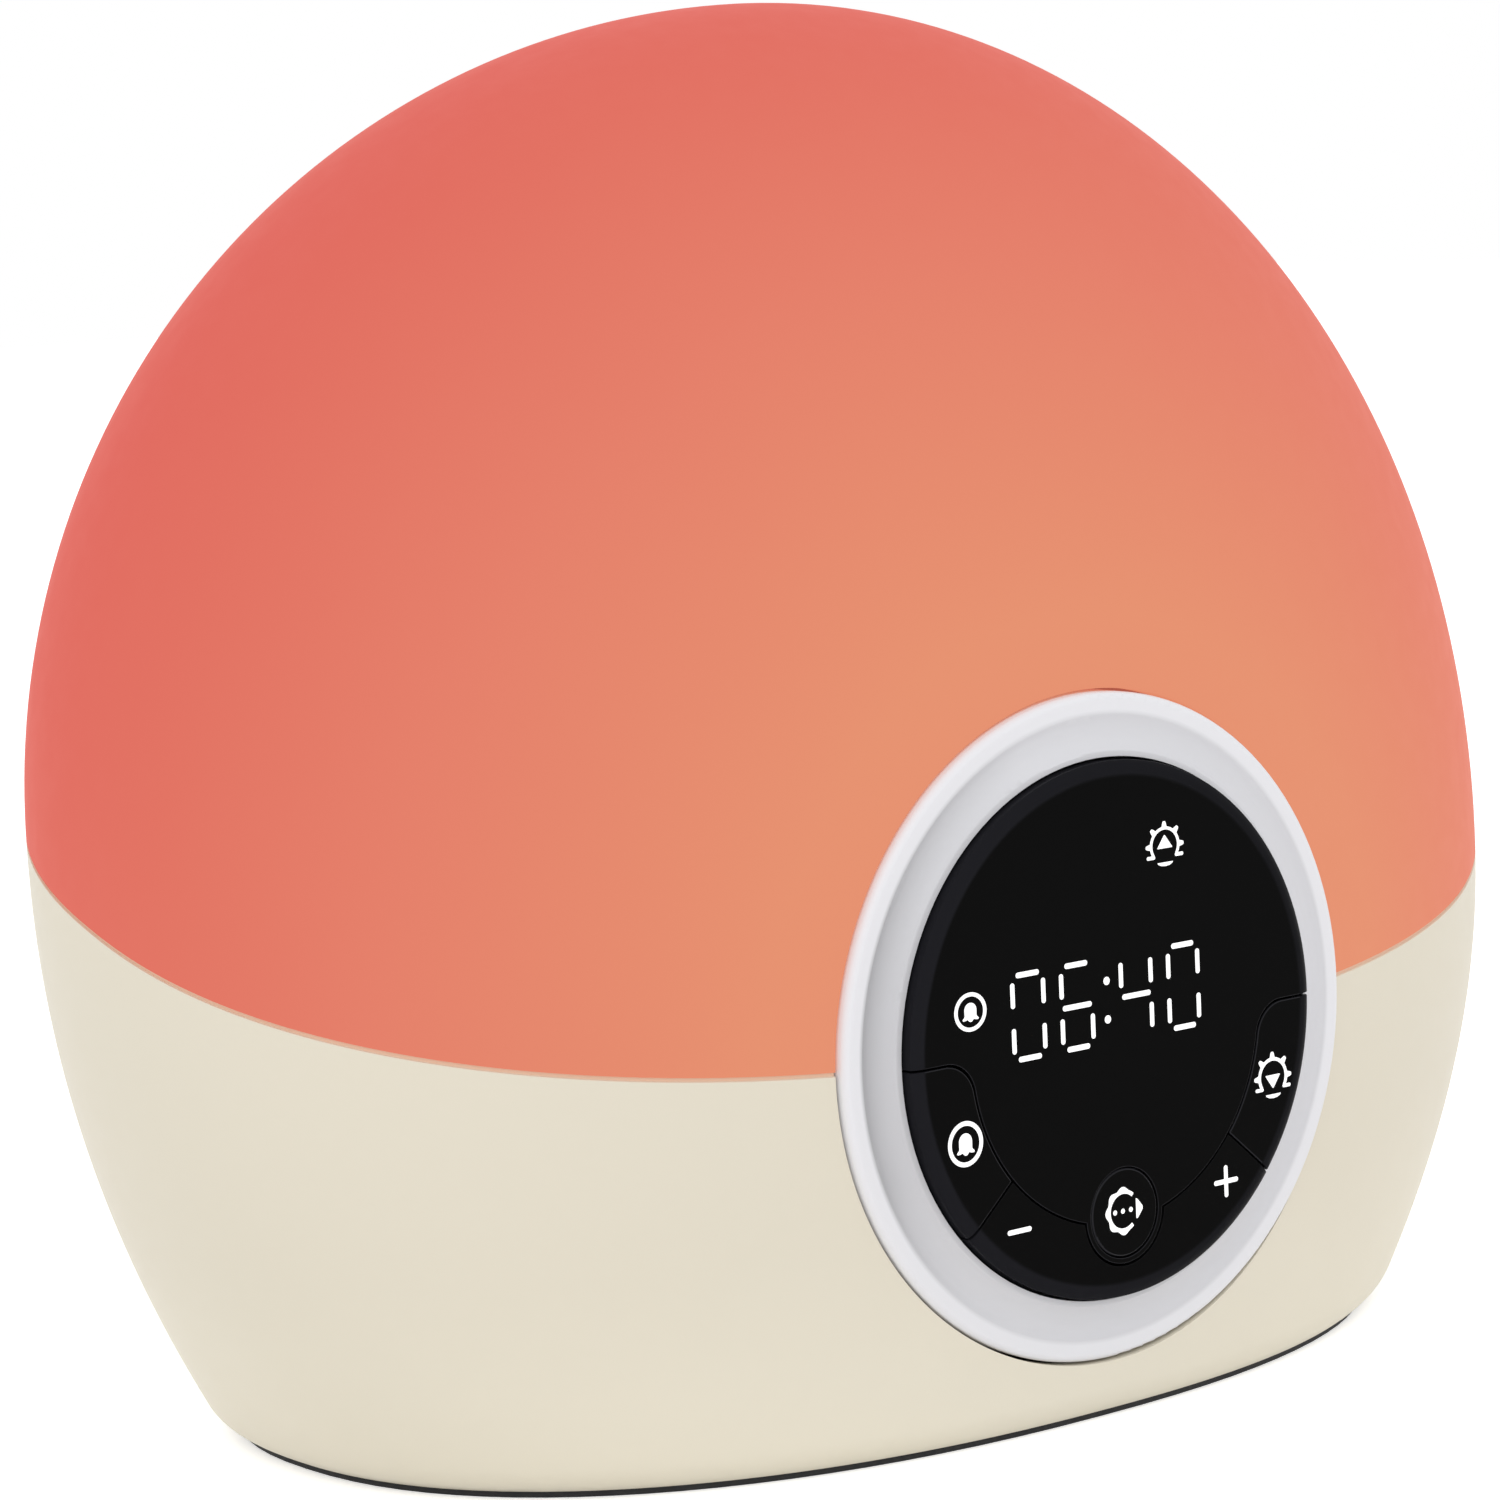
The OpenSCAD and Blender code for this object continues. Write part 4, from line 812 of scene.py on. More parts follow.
def side_point(body, a, z, inset):
    """A point of the housing's side at a height."""
    dip = max(body.foot_round - z, 0)
    inset += body.foot_round - sqrt(body.foot_round ** 2 - dip ** 2)
    sx, sy = oval_at(a, body.width - 2 * inset, body.depth - 2 * inset, body.seam_power)
    fx, fy = oval_at(a, body.foot_width - 2 * inset, body.foot_depth - 2 * inset, body.foot_power)
    k = taper(body, 1 - z / seam_height(body, sy))
    return Vector((fx + (sx - fx) * k, fy + (sy - fy) * k, z))


def front_wall(body, x, z):
    """Distance of the housing's front wall from the middle."""
    k = taper(body, 1 - z / seam_height(body, -body.depth / 2))
    width = body.foot_width + (body.width - body.foot_width) * k
    depth = body.foot_depth + (body.depth - body.foot_depth) * k
    power = body.foot_power + (body.seam_power - body.foot_power) * k
    return depth / 2 * (1 - abs(2 * x / width) ** power) ** (1 / power)


def boss(bm, body, low, high, blind, place):
    """A round screw boss with a blind pilot hole."""
    r, pilot = body.boss_radius, body.pilot_radius
    turned(bm, [(pilot, low), (r, low), (r, high), (0, high), (0, blind), (pilot, blind)], place)


def base_boss(bm, body, a):
    """Screw boss at the housing's lower edge, with a web that follows the wall."""
    high, bore, inset, web, raised = 8 * MM, 7 * MM, 9 * MM, 1.6 * MM, 2.6 * MM
    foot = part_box("base_plate")[0].z + raised
    x, y = oval_at(a, body.foot_width - 2 * inset, body.foot_depth - 2 * inset, body.foot_power)
    place = Matrix.Translation((x, y, foot))
    boss(bm, body, 0, high, bore, place)
    start = body.boss_radius * 0.9
    wall = [side_point(body, a, foot + high * k / 3, body.wall / 2) for k in range(4)]
    aim = atan2(wall[1].y - y, wall[1].x - x)
    outline = [(start, 0)] + [(hypot(p.x - x, p.y - y), p.z - foot) for p in wall] + [(start, high)]
    upright = place @ Matrix.Rotation(aim, 4, "Z") @ Matrix.Rotation(pi / 2, 4, "X")
    plate(bm, outline, web / 2, upright)


def panel_place(panel, u=0.0, v=0.0):
    """A place on the panel: its X is right, its Y up and its Z out of the face."""
    stand = Matrix.Translation((0, -panel.face, panel.level)) @ Matrix.Rotation(pi / 2 - panel.lean, 4, "X")
    return stand @ Matrix.Translation((u, v, 0))


def ear_boss(bm, body, panel, a):
    """Boss on the housing's front wall that takes a screw of the ring."""
    ear, bore = 2 * MM, 4.4 * MM
    reach = opening_radius() - panel.edge_gap + panel.ear_inset
    x, y = reach * cos(a), reach * sin(a)
    aside = body.boss_radius * 0.8
    front = front_wall(body, abs(x) + aside, panel.level + y - aside) - panel.face - MM
    boss(bm, body, ear - panel.barrel, front, bore - panel.barrel, panel_place(panel, x, y))


class CLOCK_OT_dome(bpy.types.Operator):
    """Builds the lit dome from its rule"""

    bl_idname = "sunrise_clock.dome"
    bl_label = "Lit dome"

    def execute(self, context):
        body = context.scene.clock_body
        mesh = evaluated_mesh(
            dome_tree(), "lit_dome", settings=body, seam_slope=tan(body.seam_tilt), hole_radius=opening_radius(),
        )
        new_piece("lit_dome", smooth(outward(mesh)), "dome", ["diffuser_dome"])
        return {"FINISHED"}


class CLOCK_OT_housing(bpy.types.Operator):
    """Builds the cream housing from its rule, with its bosses and the tongue on its rim"""

    bl_idname = "sunrise_clock.housing"
    bl_label = "Cream housing"

    def execute(self, context):
        body, panel = context.scene.clock_body, context.scene.clock_panel
        mesh = evaluated_mesh(
            housing_tree(), "cream_housing", settings=body, seam_slope=tan(body.seam_tilt),
            hole_radius=opening_radius(), socket_radius=SOCKET_RADIUS,
        )
        self.part("cream_housing", outward(mesh))
        self.part("rim_tongue", opened(self.tongue(body), "rim_tongue", "housing"))
        bm = bmesh.new()
        for a in BASE_SCREW_ANGLES:
            base_boss(bm, body, radians(a))
        for a in EAR_ANGLES:
            ear_boss(bm, body, panel, radians(a))
        self.part("housing_bosses", mesh_from(bm, "housing_bosses"))
        return {"FINISHED"}

    def part(self, name, mesh):
        new_piece(name, smooth(mesh), "housing", ["base_housing"])

    def tongue(self, body):
        """The tongue on the rim that centres the dome from inside."""
        high, thick, foot, slope, root, slack = 2.6 * MM, 1.2 * MM, 4 * MM, 1.6 * MM, 0.4 * MM, 0.2 * MM
        outer = body.wall + slack
        inner = outer + thick
        bm = bmesh.new()
        solid(bm, [seam_ring(body, inset, lift) for inset, lift in (
            (outer, high), (outer, -root), (body.wall - root, -root), (body.wall - root, -foot),
            (inner, slope - foot), (inner, high),
        )])
        return bm


class CLOCK_OT_seal(bpy.types.Operator):
    """Lays the pale seal in the seam"""

    bl_idname = "sunrise_clock.seal"
    bl_label = "Seam seal"

    def execute(self, context):
        body = context.scene.clock_body
        out, high = body.seal_inset, body.seam_groove
        corners = (out, high), (out, 0), (body.wall, 0), (body.wall, high)
        bm = bmesh.new()
        solid(bm, [seam_ring(body, inset, lift) for inset, lift in corners])
        new_piece("seam_seal", smooth(opened(bm, "seam_seal", "seal")), "seal", ["seam_gasket"])
        return {"FINISHED"}


# ---------- Panel ----------


def smooth_copy(name, source, look, bevel=0.0, sharp_from=radians(32)):
    """A merged copy of a CAD node with fine bevels on its sharp edges, standing for that node."""
    flat, sharp = radians(0.6), radians(50)
    bm = bmesh.new()
    bm.from_mesh(NODES[source].data)
    bmesh.ops.remove_doubles(bm, verts=bm.verts, dist=WELD)
    bmesh.ops.dissolve_limit(
        bm, angle_limit=flat, use_dissolve_boundaries=False, verts=bm.verts, edges=bm.edges,
    )
    if bevel:
        edges = [
            e for e in bm.edges
            if len(e.link_faces) == 2 and e.calc_face_angle(0.0) > sharp and e.is_convex
        ]
        bmesh.ops.bevel(
            bm, geom=edges, offset=bevel, offset_type="OFFSET", segments=2, profile=0.5,
            affect="EDGES", clamp_overlap=True,
        )
    mesh = bpy.data.meshes.new(name + "_plain")
    bm.to_mesh(mesh)
    bm.free()

    def setup(modifier):
        modifier.keep_sharp = True

    mesh = applied(smooth(mesh, sharp_from), name, "WEIGHTED_NORMAL", setup)
    return new_piece(name, mesh, look, [source], NODES[source]["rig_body"]).data


class CLOCK_OT_ring(bpy.types.Operator):
    """Finishes the white ring with its rounded lip and dished face"""

    bl_idname = "sunrise_clock.ring"
    bl_label = "White ring"

    def execute(self, context):
        smooth_copy("white_ring", "bezel_ring", "ring", sharp_from=radians(40))
        return {"FINISHED"}


class CLOCK_OT_keys(bpy.types.Operator):
    """Finishes the display window and the four keys with fine edges"""

    bl_idname = "sunrise_clock.keys"
    bl_label = "Window and keys"

    def execute(self, context):
        panel = context.scene.clock_panel
        to_face = panel_place(panel).inverted()
        flat, behind = panel.disc_radius - panel.disc_edge, 0.3 * MM
        steepest, flattest = 0.15, 0.96

        def on_bevel(centre, normal):
            x, y, z = to_face @ centre
            front = (to_face.to_3x3() @ normal).z
            return z > -behind and steepest < front < flattest and hypot(x, y) < flat

        for source in ("display_window", "alarm_key", "sunset_key", "light_key", "adjust_rocker"):
            mesh = smooth_copy(source + "_finished", source, "black", panel.key_bevel)
            # The keys' bevels take the paler edge finish, a painted highlight along their edges
            second_finish(mesh, "black_edge", on_bevel)
        return {"FINISHED"}


# ---------- Signs ----------


def arc_points(cx, cy, radius, start, end, count):
    """Points along an arc, with angles in degrees."""
    turns = [radians(start + (end - start) * i / count) for i in range(count + 1)]
    return [(cx + radius * cos(a), cy + radius * sin(a)) for a in turns]


def rounded(points, size, steps=4):
    """A closed outline with its corners rounded off."""
    outline = []
    for i, corner in enumerate(points):
        c, before, after = Vector(corner), Vector(points[i - 1]), Vector(points[(i + 1) % len(points)])
        a = c + (before - c).normalized() * size
        b = c + (after - c).normalized() * size
        for k in range(steps + 1):
            t = k / steps
            outline.append(tuple(a * (1 - t) ** 2 + c * (2 * t * (1 - t)) + b * t ** 2))
    return outline


def toothed_arc(centre, radius, start, end, count, high=1.0, teeth=(), rise=0.0, half=15.0, blunt=0.4):
    """Points along an arc with a tooth at each angle in teeth, all in millimetres and degrees."""
    points = []
    for i in range(count + 1):
        a = start + (end - start) * i / count
        away = min((abs((a - at + 180) % 360 - 180) / half for at in teeth), default=1.0)
        fall = min(max((away - blunt) / (1 - blunt), 0.0), 1.0)
        r = radius + rise * (0.5 + 0.5 * cos(pi * fall))
        points.append((centre[0] + r * cos(radians(a)), centre[1] + high * r * sin(radians(a))))
    return points


def bar_tree():
    """Bars with round ends on points. Each point brings its own turn, half length and width."""
    tree, leave, t = new_tree("Lit bars", ("Height",), ("Sides",))
    disc = cylinder(tree, t["Sides"], 0.5, t["Height"] * 2.0)
    half_step = point_of(tree, 0.0, 0.0, (t["Sides"] * (1 / pi)) ** -1.0)
    kept = node(tree, "GeometryNodeStoreNamedAttribute", {
        "Geometry": moved(tree, disc, Rotation=half_step), "Name": "own",
        "Value": node(tree, "GeometryNodeInputPosition"),
    }, data_type="FLOAT_VECTOR", domain="POINT")
    placed = node(tree, "GeometryNodeInstanceOnPoints", {"Points": t["Geometry"], "Instance": kept})
    real = node(tree, "GeometryNodeRealizeInstances", {"Geometry": placed})
    x, y, _ = parts_of(tree, stored(tree, "own", "FLOAT_VECTOR"))
    turn, half, width = (stored(tree, name) for name in ("turn", "half", "width"))
    along = x * width + x.maths("SIGN") * half
    across = y * width
    c, s = turn.maths("COSINE"), turn.maths("SINE")
    shift = point_of(tree, along * c - across * s - x, along * s + across * c - y, 0.0)
    put = node(tree, "GeometryNodeSetPosition", {"Geometry": real, "Offset": shift})
    return finish_tree(tree, leave, put, "sign")


def point_cloud(name, places, **values):
    """Points that carry named values."""
    points = bpy.data.meshes.new(name + "_points")
    points.from_pydata(places, [], [])
    for key, numbers in values.items():
        points.attributes.new(key, "FLOAT", "POINT").data.foreach_set("value", numbers)
    return points


class Sign:
    """A lit sign drawn in millimetres on the panel's face."""

    def __init__(self, name, body):
        self.name, self.body = name, body
        self.panel = bpy.context.scene.clock_panel
        self.height = self.panel.sign_lift / MM
        self.bm = bmesh.new()
        self.places = []

    def strip(self, outer, inner, closed=False):
        """A thin band between two lines with as many points."""
        solid(self.bm, [
            [(*a, self.height), (*b, self.height), (*b, -self.height), (*a, -self.height)]
            for a, b in zip(outer, inner)
        ], closed)

    def ring(self, centre, inner, outer, high=1.0):
        self.strip(*(toothed_arc(centre, r, 0, 355, 71, high) for r in (outer, inner)), closed=True)

    def shape(self, outline):
        plate(self.bm, outline, self.height)

    def bar(self, *place):
        """A bar, as its middle's u and v, length, width and turn in degrees."""
        self.places.append(place)

    def done(self):
        if self.places:
            points = point_cloud(
                self.name, [(u, v, 0) for u, v, *_ in self.places],
                turn=[radians(turn) for *_, turn in self.places],
                half=[(long - width) / 2 for _, _, long, width, _ in self.places],
                width=[width for _, _, _, width, _ in self.places],
            )
            self.bm.from_mesh(evaluated_mesh(
                bar_tree(), self.name + "_bars", points, height=self.height, sides=20,
            ))
        mesh = mesh_from(self.bm, self.name)
        mesh.transform(panel_place(self.panel) @ Matrix.Scale(MM, 4))
        new_piece(self.name, smooth(mesh), "sign", body=self.body)


# Which bars of a digit are lit, as (kind, column, row): T is a top bar, M a middle bar and U an upright
ALL_UPRIGHTS = [("U", 0, 0), ("U", 0, 1), ("U", 1, 0), ("U", 1, 1)]
LIT_BARS = {
    "0": [("T", 0, 0), ("T", 0, 2), *ALL_UPRIGHTS],
    "4": [("M", 0, 1), *ALL_UPRIGHTS[1:]],
    "6": [("T", 0, 0), ("T", 0, 2), ("M", 0, 1), *ALL_UPRIGHTS[:3]],
}
# Bar lengths, the digits' left edges and their base line, in millimetres on the panel's face
BAR_LENGTHS = {"T": 3.3, "M": 4.2, "U": 2.75}
SHOWN_TIME = (("0", -15.05), ("6", -8.05), ("4", 0.65), ("0", 7.7))
DIGIT_BASE = -1.0
# Middle of a lower upright and the step to the upper one, as shares of a digit's height
UPRIGHT_MIDDLE, UPRIGHT_STEP = 0.226, 0.541
# The two dots as bars: u, v, length, width and turn
DOTS = (-1.47, 5.65, 0.9, 0.9, 0), (-1.47, 1.45, 0.9, 0.9, 0)


def digit_places(panel):
    """Places of the lit bars of the four digits and of the two dots between them."""
    wide, high, width = panel.digit_width / MM, panel.digit_height / MM, panel.bar_width / MM
    places = list(DOTS)
    for digit, left in SHOWN_TIME:
        for kind, column, row in LIT_BARS[digit]:
            if kind == "U":
                spot = (left + wide * column, DIGIT_BASE + high * (UPRIGHT_MIDDLE + UPRIGHT_STEP * row))
            else:
                spot = (left + wide / 2, DIGIT_BASE + high * row / 2)
            places.append((*spot, BAR_LENGTHS[kind], width, 90 if kind == "U" else 0))
    return places


def bell_outline(cx, cy, wide, high):
    """A bell with a rounded crown, a flared lip and its clapper below."""
    right = [(0.97, 0.23), (0.95, -0.50), (1.08, -0.70), (1.26, -0.84), (1.30, -0.98), (1.20, -1.08),
             (0.85, -1.06), (0.48, -0.96), (0.34, -1.12), (0.17, -1.26)]
    left = [(-u, v) for u, v in right[::-1]]
    points = arc_points(0, 0.23, 0.97, 176, 4, 16) + right + [(0, -1.30)] + left
    return [(cx + u * wide, cy + v * high) for u, v in points]


def sun_sign(sign, cx, cy, radius, high, pointing):
    """A rising or setting sun: an open ring with five rays on two feet, a bar below and a triangle inside."""
    arc = -33, 213, 164, high
    outer = toothed_arc((cx, cy), radius, *arc, (0, 45, 90, 135, 180), 0.62, 10.5, 0.22)
    sign.strip(outer, toothed_arc((cx, cy), 1.85, *arc))
    for side in (-1, 1):
        sign.bar(cx + side * 2.1, cy - 1.24 * high, 1.24, 0.4, 0)
    sign.shape([(cx + u, cy + v * high) for u, v in (
        (-1.15, -1.95), (-1.05, -2.14), (-0.6, -2.34), (0, -2.41), (0.6, -2.34), (1.05, -2.14), (1.15, -1.95),
    )])
    base, tip = (-0.3, 1.2) if pointing > 0 else (0.25, -1.3)
    sign.shape(rounded([(cx - 1.16, cy + base), (cx + 1.16, cy + base), (cx, cy + tip)][::pointing], 0.16))


def light_sign(sign, cx, cy):
    """A scalloped ring that is open on the right, with three dots and a triangle."""
    arc = 48, 309, 106
    outer = toothed_arc((cx, cy), 2.34, *arc, 1.0, range(90, 271, 45), 0.32, 24.0, 0.0)
    sign.strip(outer, toothed_arc((cx, cy), 1.9, *arc))
    for u in (-1.24, -0.08, 1.1):
        sign.bar(cx + u, cy, 0.56, 0.56, 0)
    arrow = [(1.88, -1.14), (2.12, -1.06), (2.84, -0.2), (2.84, 0.14), (2.12, 1.0), (1.88, 1.14)]
    sign.shape(rounded([(cx + u, cy + v) for u, v in arrow], 0.1))


def bell_sign(sign, cx, cy, wide, high):
    """A bell in a ring."""
    sign.ring((cx, cy), 1.95 * wide, 2.45 * wide, high / wide)
    sign.shape(bell_outline(cx, cy, wide * 0.94, high * 0.96))


def rocker_signs(sign):
    """Minus on the left and plus on the right."""
    sign.bar(-15.32, -19.36, 3.42, 0.55, 0)
    sign.bar(15.34, -19.15, 3.66, 0.55, 0)
    sign.bar(15.34, -19.15, 3.58, 0.55, 90)


def time_sign(sign):
    """The lit time."""
    sign.places = digit_places(sign.panel)


class CLOCK_OT_signs(bpy.types.Operator):
    """Lights the digits, the indicators and the signs on the keys"""

    bl_idname = "sunrise_clock.signs"
    bl_label = "Lit digits and signs"

    def execute(self, context):
        for name, body, draw, *values in (
            ("lit_digits", "clock", time_sign),
            ("lit_bell", "clock", bell_sign, -21.05, 5.13, 0.92, 0.85),
            ("alarm_key_sign", "alarm_button", bell_sign, -22.45, -8.78, 1.0, 1.0),
            ("lit_sunrise", "clock", sun_sign, 7.8, 19.22, 2.2, 0.94, 1),
            ("sunset_key_sign", "sunset_button", sun_sign, 23.05, -8.66, 2.24, 0.99, -1),
            ("light_key_sign", "light_button", light_sign, -0.2, -19.82),
            ("rocker_signs", "rocker", rocker_signs),
        ):
            sign = Sign(name, body)
            draw(sign, *values)
            sign.done()
        return {"FINISHED"}


# ---------- Screws and LEDs ----------


def screw_tree():
    """A pan-head screw with a cross recess and a threaded shank on every point."""
    tree, leave, t = new_tree("Pan-head screws", (
        "Head radius", "Head height", "Shank radius", "Shank length", "Pitch", "Tilt",
    ), ("Sides",))
    head_rows, thread_depth = 8.0, 0.22
    step = t["Pitch"] * 0.25
    rows = (t["Shank length"] / step).maths("CEIL") + head_rows + 3.0
    grid, turn, row = turning_grid(tree, t["Sides"], rows)
    bend = (1.0 - (row / head_rows).clamped()) * (pi / 2)
    on_shank = (row - head_rows).clamped()
    depth = ((row - head_rows - 1.0).maths("MAXIMUM", 0.0) * step).maths("MINIMUM", t["Shank length"])
    wave = ((depth / t["Pitch"] - turn / (2 * pi)).maths("FRACT") * 2.0 - 1.0).maths("ABSOLUTE")
    at_tip = (row - rows + 2.0).clamped()
    shank = (t["Shank radius"] - wave * t["Shank radius"] * thread_depth) * (1.0 - at_tip)
    head = t["Head radius"] * bend.maths("COSINE").maths("ABSOLUTE") ** 0.5
    radius = head * (1.0 - on_shank) + shank * on_shank
    level = t["Head height"] * bend.maths("SINE") ** 0.5 * (1.0 - on_shank) - depth * on_shank
    shape = closed_shape(tree, grid, turn.maths("COSINE") * radius, turn.maths("SINE") * radius, level)
    long, thin, deep = t["Head radius"] * 1.1, t["Head radius"] * 0.24, t["Head height"] * 1.3
    up = point_of(tree, 0.0, 0.0, t["Head height"])
    slots = [
        moved(tree, node(tree, "GeometryNodeMeshCube", {"Size": point_of(tree, *size, deep)}), Translation=up)
        for size in ((long, thin), (thin, long))
    ]
    placed = node(tree, "GeometryNodeInstanceOnPoints", {
        "Points": t["Geometry"], "Instance": minus(tree, shape, slots),
        "Rotation": point_of(tree, t["Tilt"], 0.0, 0.0),
    })
    return finish_tree(tree, leave, placed, "screw_steel")


class CLOCK_OT_screws(bpy.types.Operator):
    """Makes every screw with its head, recess and thread"""

    bl_idname = "sunrise_clock.screws"
    bl_label = "Screws"

    def execute(self, context):
        sizes, tilt = context.scene.clock_screws, context.scene.clock_body.seam_tilt
        for node_name, turn in (
            ("bezel_screws", -pi / 2), ("display_screws", -pi / 2), ("lamp_screws", tilt), ("tray_screws", tilt),
            ("board_screws", 0.0), ("base_screws", pi),
        ):
            axis = Vector((0, -sin(turn), cos(turn)))
            seats, shank = [], 0.0
            for group in joined_groups(NODES[node_name].data):
                middle = sum(group, Vector()) / len(group)
                heights = [point.dot(axis) for point in group]
                shank = max(heights) - min(heights) - sizes.head_height
                seats.append(middle + axis * (max(heights) - sizes.head_height - middle.dot(axis)))
            name = node_name + "_threaded"
            mesh = evaluated_mesh(
                screw_tree(), name, point_cloud(name, seats), sizes, shank_length=shank, tilt=turn, sides=20,
            )
            new_piece(name, smooth(mesh, radians(50)), "screw_steel", [node_name])
        return {"FINISHED"}


def led_tree():
    """A square LED package with a round well and its phosphor on every point."""
    tree, leave, t = new_tree("Lamp LEDs", ("LED width", "LED height"), ("Sides",))
    wide, high = t["LED width"], t["LED height"]
    cube = node(tree, "GeometryNodeMeshCube", {"Size": point_of(tree, wide, wide, high)})
    well = cylinder(tree, t["Sides"], wide * 0.4, high * 0.4)
    package = minus(tree, cube, moved(tree, well, Translation=point_of(tree, 0.0, 0.0, high * 0.5)))
    fill = moved(tree, well, Translation=point_of(tree, 0.0, 0.0, high * 0.22), Scale=(0.98, 0.98, 0.6))
    both = node(tree, "GeometryNodeJoinGeometry", {0: [package, fill]})
    spin = point_of(tree, 0.0, 0.0, stored(tree, "turn"))
    placed = node(tree, "GeometryNodeInstanceOnPoints", {
        "Points": t["Geometry"], "Instance": both, "Rotation": spin,
    })
    return finish_tree(tree, leave, placed, "led_lens")


class CLOCK_OT_leds(bpy.types.Operator):
    """Makes the lamp's LEDs with their wells and phosphor"""

    bl_idname = "sunrise_clock.leds"
    bl_label = "Lamp LEDs"

    def execute(self, context):
        sizes, tilt = context.scene.clock_screws, context.scene.clock_body.seam_tilt
        middles = [sum(group, Vector()) / len(group) for group in joined_groups(NODES["lamp_leds"].data)]
        centre = sum(middles, Vector()) / len(middles)
        lamp = Matrix.Translation(centre) @ Matrix.Rotation(tilt, 4, "X")
        spots = [lamp.inverted() @ point for point in middles]
        points = point_cloud("led", spots, turn=[atan2(spot.y, spot.x) for spot in spots])
        mesh = evaluated_mesh(led_tree(), "lamp_leds_finished", points, sizes, sides=24)
        well, near = sizes.led_width * 0.395, 0.1 * MM

        def to_spot(point):
            return min(hypot(*(point - spot).xy) for spot in spots)

        glow_faces = [
            to_spot(face.center) < near and face.normal.z > 0.9
            or all(to_spot(mesh.vertices[v].co) < well for v in face.vertices)
            for face in mesh.polygons
        ]
        mesh.transform(lamp)
        new_piece("lamp_leds_finished", smooth(mesh), "led_lens", ["lamp_leds"])
        mesh.materials.append(finish("phosphor"))
        mesh.polygons.foreach_set("material_index", [int(glows) for glows in glow_faces])
        return {"FINISHED"}


# ---------- Everything else ----------


PLAIN_NODES = {
    "keypad_mat": "silicone", "panel_carrier": "dark_plastic", "display_board": "circuit_board",
    "led_display": "dark_plastic", "indicator_leds": "led_lens", "reflector_tray": "white_plastic",
    "heat_spreader": "heat_aluminium", "lamp_board": "lamp_circuit", "main_board": "circuit_board",
    "main_chips": "dark_plastic", "board_connectors": "white_plastic", "ribbon_cable": "ribbon",
    "lamp_leads": "lead_red",
}


class CLOCK_OT_underside(bpy.types.Operator):
    """Finishes the base plate and the rubber strip the clock stands on"""

    bl_idname = "sunrise_clock.underside"
    bl_label = "Underside"

    def execute(self, context):
        smooth_copy("base_plate_finished", "base_plate", "dark_plastic", 0.12 * MM)
        smooth_copy("foot_ring_finished", "foot_ring", "foot_rubber", 0.15 * MM)
        return {"FINISHED"}


class CLOCK_OT_inner_parts(bpy.types.Operator):
    """Finishes the socket, the cans and the speaker, and gives the other inner parts their finishes"""

    bl_idname = "sunrise_clock.inner_parts"
    bl_label = "Inner parts"

    def execute(self, context):
        pin, pin_reach, cone = MOUNTS["dc_inlet_pin"].z, 1.2 * MM, 8.2 * MM
        low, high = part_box("speaker")
        middle = (low + high) / 2
        socket = smooth_copy("power_socket", "dc_jack", "dark_plastic", 0.1 * MM)
        second_finish(socket, "contact_metal", lambda at, normal: hypot(at.x, at.z - pin) < pin_reach)
        cans = smooth_copy("capacitor_cans", "capacitors", "can_sleeve", 0.25 * MM)
        second_finish(cans, "can_metal", lambda at, normal: normal.z > 0.9)
        speaker = smooth_copy("speaker_finished", "speaker", "dark_plastic", 0.1 * MM)
        second_finish(speaker, "paper_cone", lambda at, normal: (
            normal.z < -0.2 and hypot(at.x - middle.x, at.y - middle.y) < cone
        ))
        for name, look in PLAIN_NODES.items():
            slots = NODES[name].data.materials
            slots.clear()
            slots.append(finish(look))
        return {"FINISHED"}


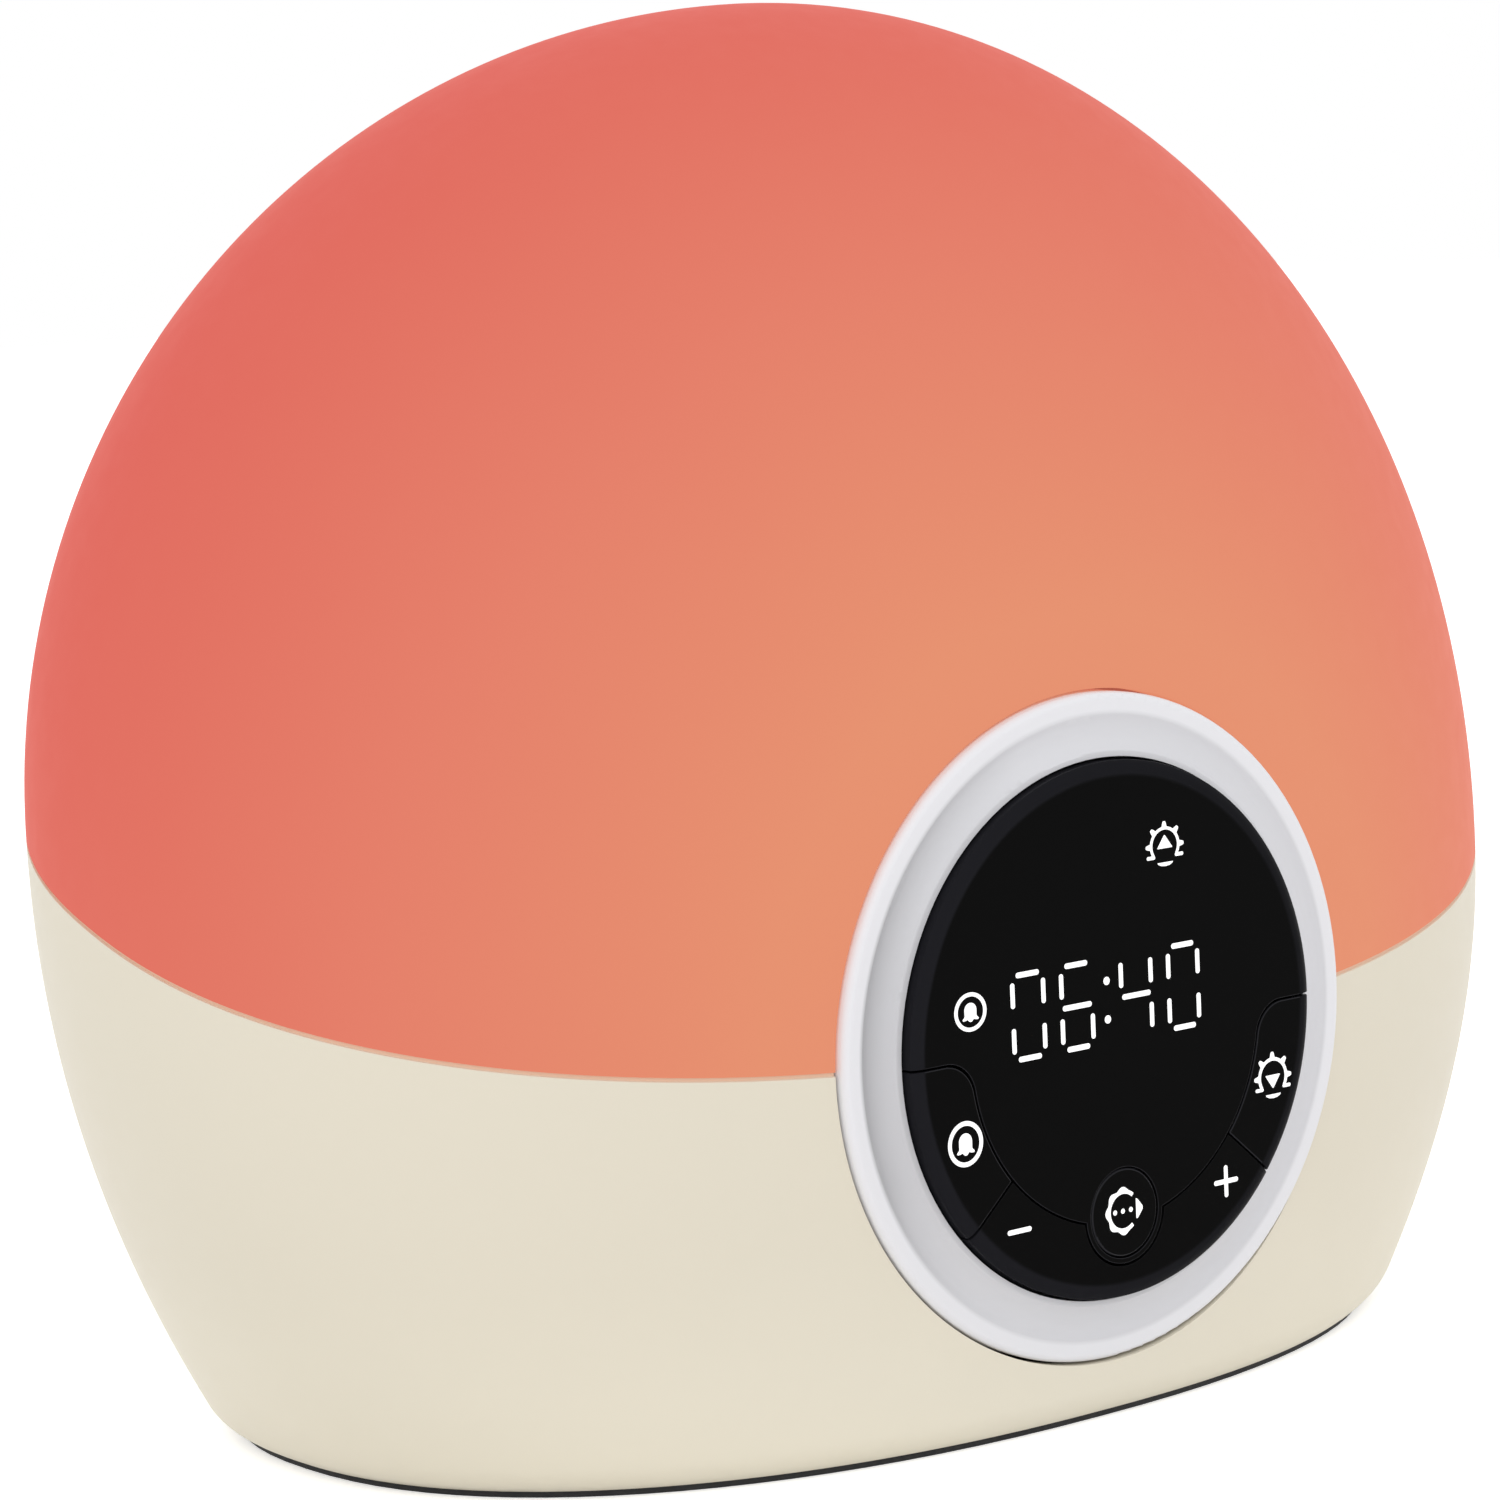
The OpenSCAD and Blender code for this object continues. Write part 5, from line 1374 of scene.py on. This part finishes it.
class CLOCK_OT_stage(bpy.types.Operator):
    """Sets the floor, the soft lamp, the white background and the camera"""

    bl_idname = "sunrise_clock.stage"
    bl_label = "Stage"

    def execute(self, context):
        scene, stage = context.scene, context.scene.clock_stage
        self.floor(stage)
        self.world(scene, stage)
        self.lamp()
        self.camera(scene, stage)
        scene.view_settings.view_transform = "Standard"
        return {"FINISHED"}

    def placed(self, name, data):
        thing = bpy.data.objects.new(name, data)
        bpy.context.scene.collection.objects.link(thing)
        return thing

    def lamp(self):
        """One wide soft lamp from the front left."""
        place, aim, size, power = Vector((-1.3, -1.5, 1.6)), Vector((0, 0, 0.07)), 1.6, 8.0
        data = bpy.data.lights.new("Key lamp", "AREA")
        data.shape, data.size, data.energy = "DISK", size, power
        lamp = self.placed("Key lamp", data)
        lamp.location = place
        lamp.rotation_euler = (aim - place).to_track_quat("-Z", "Y").to_euler()

    def emptied(self, owner, exit_kind):
        """The node tree of a material or world with only its exit. Returns the tree and the exit's surface."""
        owner.use_nodes = True
        owner.node_tree.nodes.clear()
        return owner.node_tree, owner.node_tree.nodes.new(exit_kind).inputs["Surface"]

    def floor(self, stage):
        bm = bmesh.new()
        bmesh.ops.create_grid(bm, x_segments=8, y_segments=8, size=3.0)
        made = bpy.data.materials.new("Pale floor")
        tree, surface = self.emptied(made, "ShaderNodeOutputMaterial")
        cloth = node(tree, "ShaderNodeBsdfDiffuse", {"Color": (*stage.floor_colour, 1.0)})
        lift = self.seen_directly(tree) * stage.floor_lift
        glow = node(tree, "ShaderNodeEmission", {"Color": (1, 1, 1, 1), "Strength": lift})
        tree.links.new(node(tree, "ShaderNodeAddShader", {0: cloth, 1: glow}).socket, surface)
        mesh = mesh_from(bm, "pale_floor")
        mesh.materials.append(made)
        self.placed("pale_floor", mesh)

    def seen_directly(self, tree):
        """1 for rays that show the background: camera, glossy and transmission rays."""
        path = tree.nodes.new("ShaderNodeLightPath")
        rays = [Term(tree, path.outputs[f"Is {kind} Ray"]) for kind in ("Camera", "Glossy", "Transmission")]
        return rays[0].maths("MAXIMUM", rays[1]).maths("MAXIMUM", rays[2])

    def world(self, scene, stage):
        scene.world = bpy.data.worlds.new("White studio")
        tree, surface = self.emptied(scene.world, "ShaderNodeOutputWorld")
        strength = self.seen_directly(tree) * (1.0 - stage.ambient) + stage.ambient
        sky = node(tree, "ShaderNodeBackground", {"Color": (1, 1, 1, 1), "Strength": strength})
        tree.links.new(sky.socket, surface)

    def camera(self, scene, stage):
        data = bpy.data.cameras.new("Camera")
        data.sensor_width, data.lens = 36.0, stage.lens
        data.clip_start, data.clip_end = 0.01, 50.0
        camera = scene.camera = self.placed("Camera", data)
        a, e = stage.azimuth, stage.elevation
        back = Vector((sin(a) * cos(e), -cos(a) * cos(e), sin(e)))
        right = Vector((cos(a), sin(a), 0))
        aim = Vector((0, 0, stage.aim_height)) + right * stage.slide_right + back.cross(right) * stage.slide_up
        camera.location = aim + back * stage.distance
        turn = back.to_track_quat("Z", "Y") @ Quaternion((0, 0, 1), stage.roll)
        camera.rotation_euler = turn.to_euler()


class CLOCK_PT_panel(bpy.types.Panel):
    """Lists the clock's settings and the steps that build it"""

    bl_idname = "CLOCK_PT_panel"
    bl_label = "Sunrise clock"
    bl_space_type = "VIEW_3D"
    bl_region_type = "UI"
    bl_category = "Sunrise clock"

    def draw(self, context):
        for group, _, title in SETTINGS:
            settings = getattr(context.scene, group)
            box = self.layout.box()
            box.label(text=title)
            for key in settings.__annotations__:
                box.prop(settings, key)
        for step in STEPS:
            self.layout.operator(step.bl_idname)


STEPS = (
    CLOCK_OT_dome, CLOCK_OT_housing, CLOCK_OT_seal, CLOCK_OT_ring, CLOCK_OT_keys, CLOCK_OT_signs, CLOCK_OT_screws,
    CLOCK_OT_leds, CLOCK_OT_underside, CLOCK_OT_inner_parts, CLOCK_OT_stage,
)
SETTINGS = (
    ("clock_body", ClockBodySettings, "Dome and housing"), ("clock_panel", ClockPanelSettings, "Panel"),
    ("clock_screws", ClockScrewSettings, "Screws and LEDs"), ("clock_stage", ClockStageSettings, "Stage"),
)


def register():
    for name, group, _ in SETTINGS:
        bpy.utils.register_class(group)
        setattr(bpy.types.Scene, name, PointerProperty(type=group))
    for item in (*STEPS, CLOCK_PT_panel):
        bpy.utils.register_class(item)


def unregister():
    for item in (CLOCK_PT_panel, *reversed(STEPS)):
        bpy.utils.unregister_class(item)
    for name, group, _ in reversed(SETTINGS):
        delattr(bpy.types.Scene, name)
        bpy.utils.unregister_class(group)


def main():
    register()
    for step in STEPS:
        area, name = step.bl_idname.split(".")
        getattr(getattr(bpy.ops, area), name)()


if __name__ == "__main__":
    main()
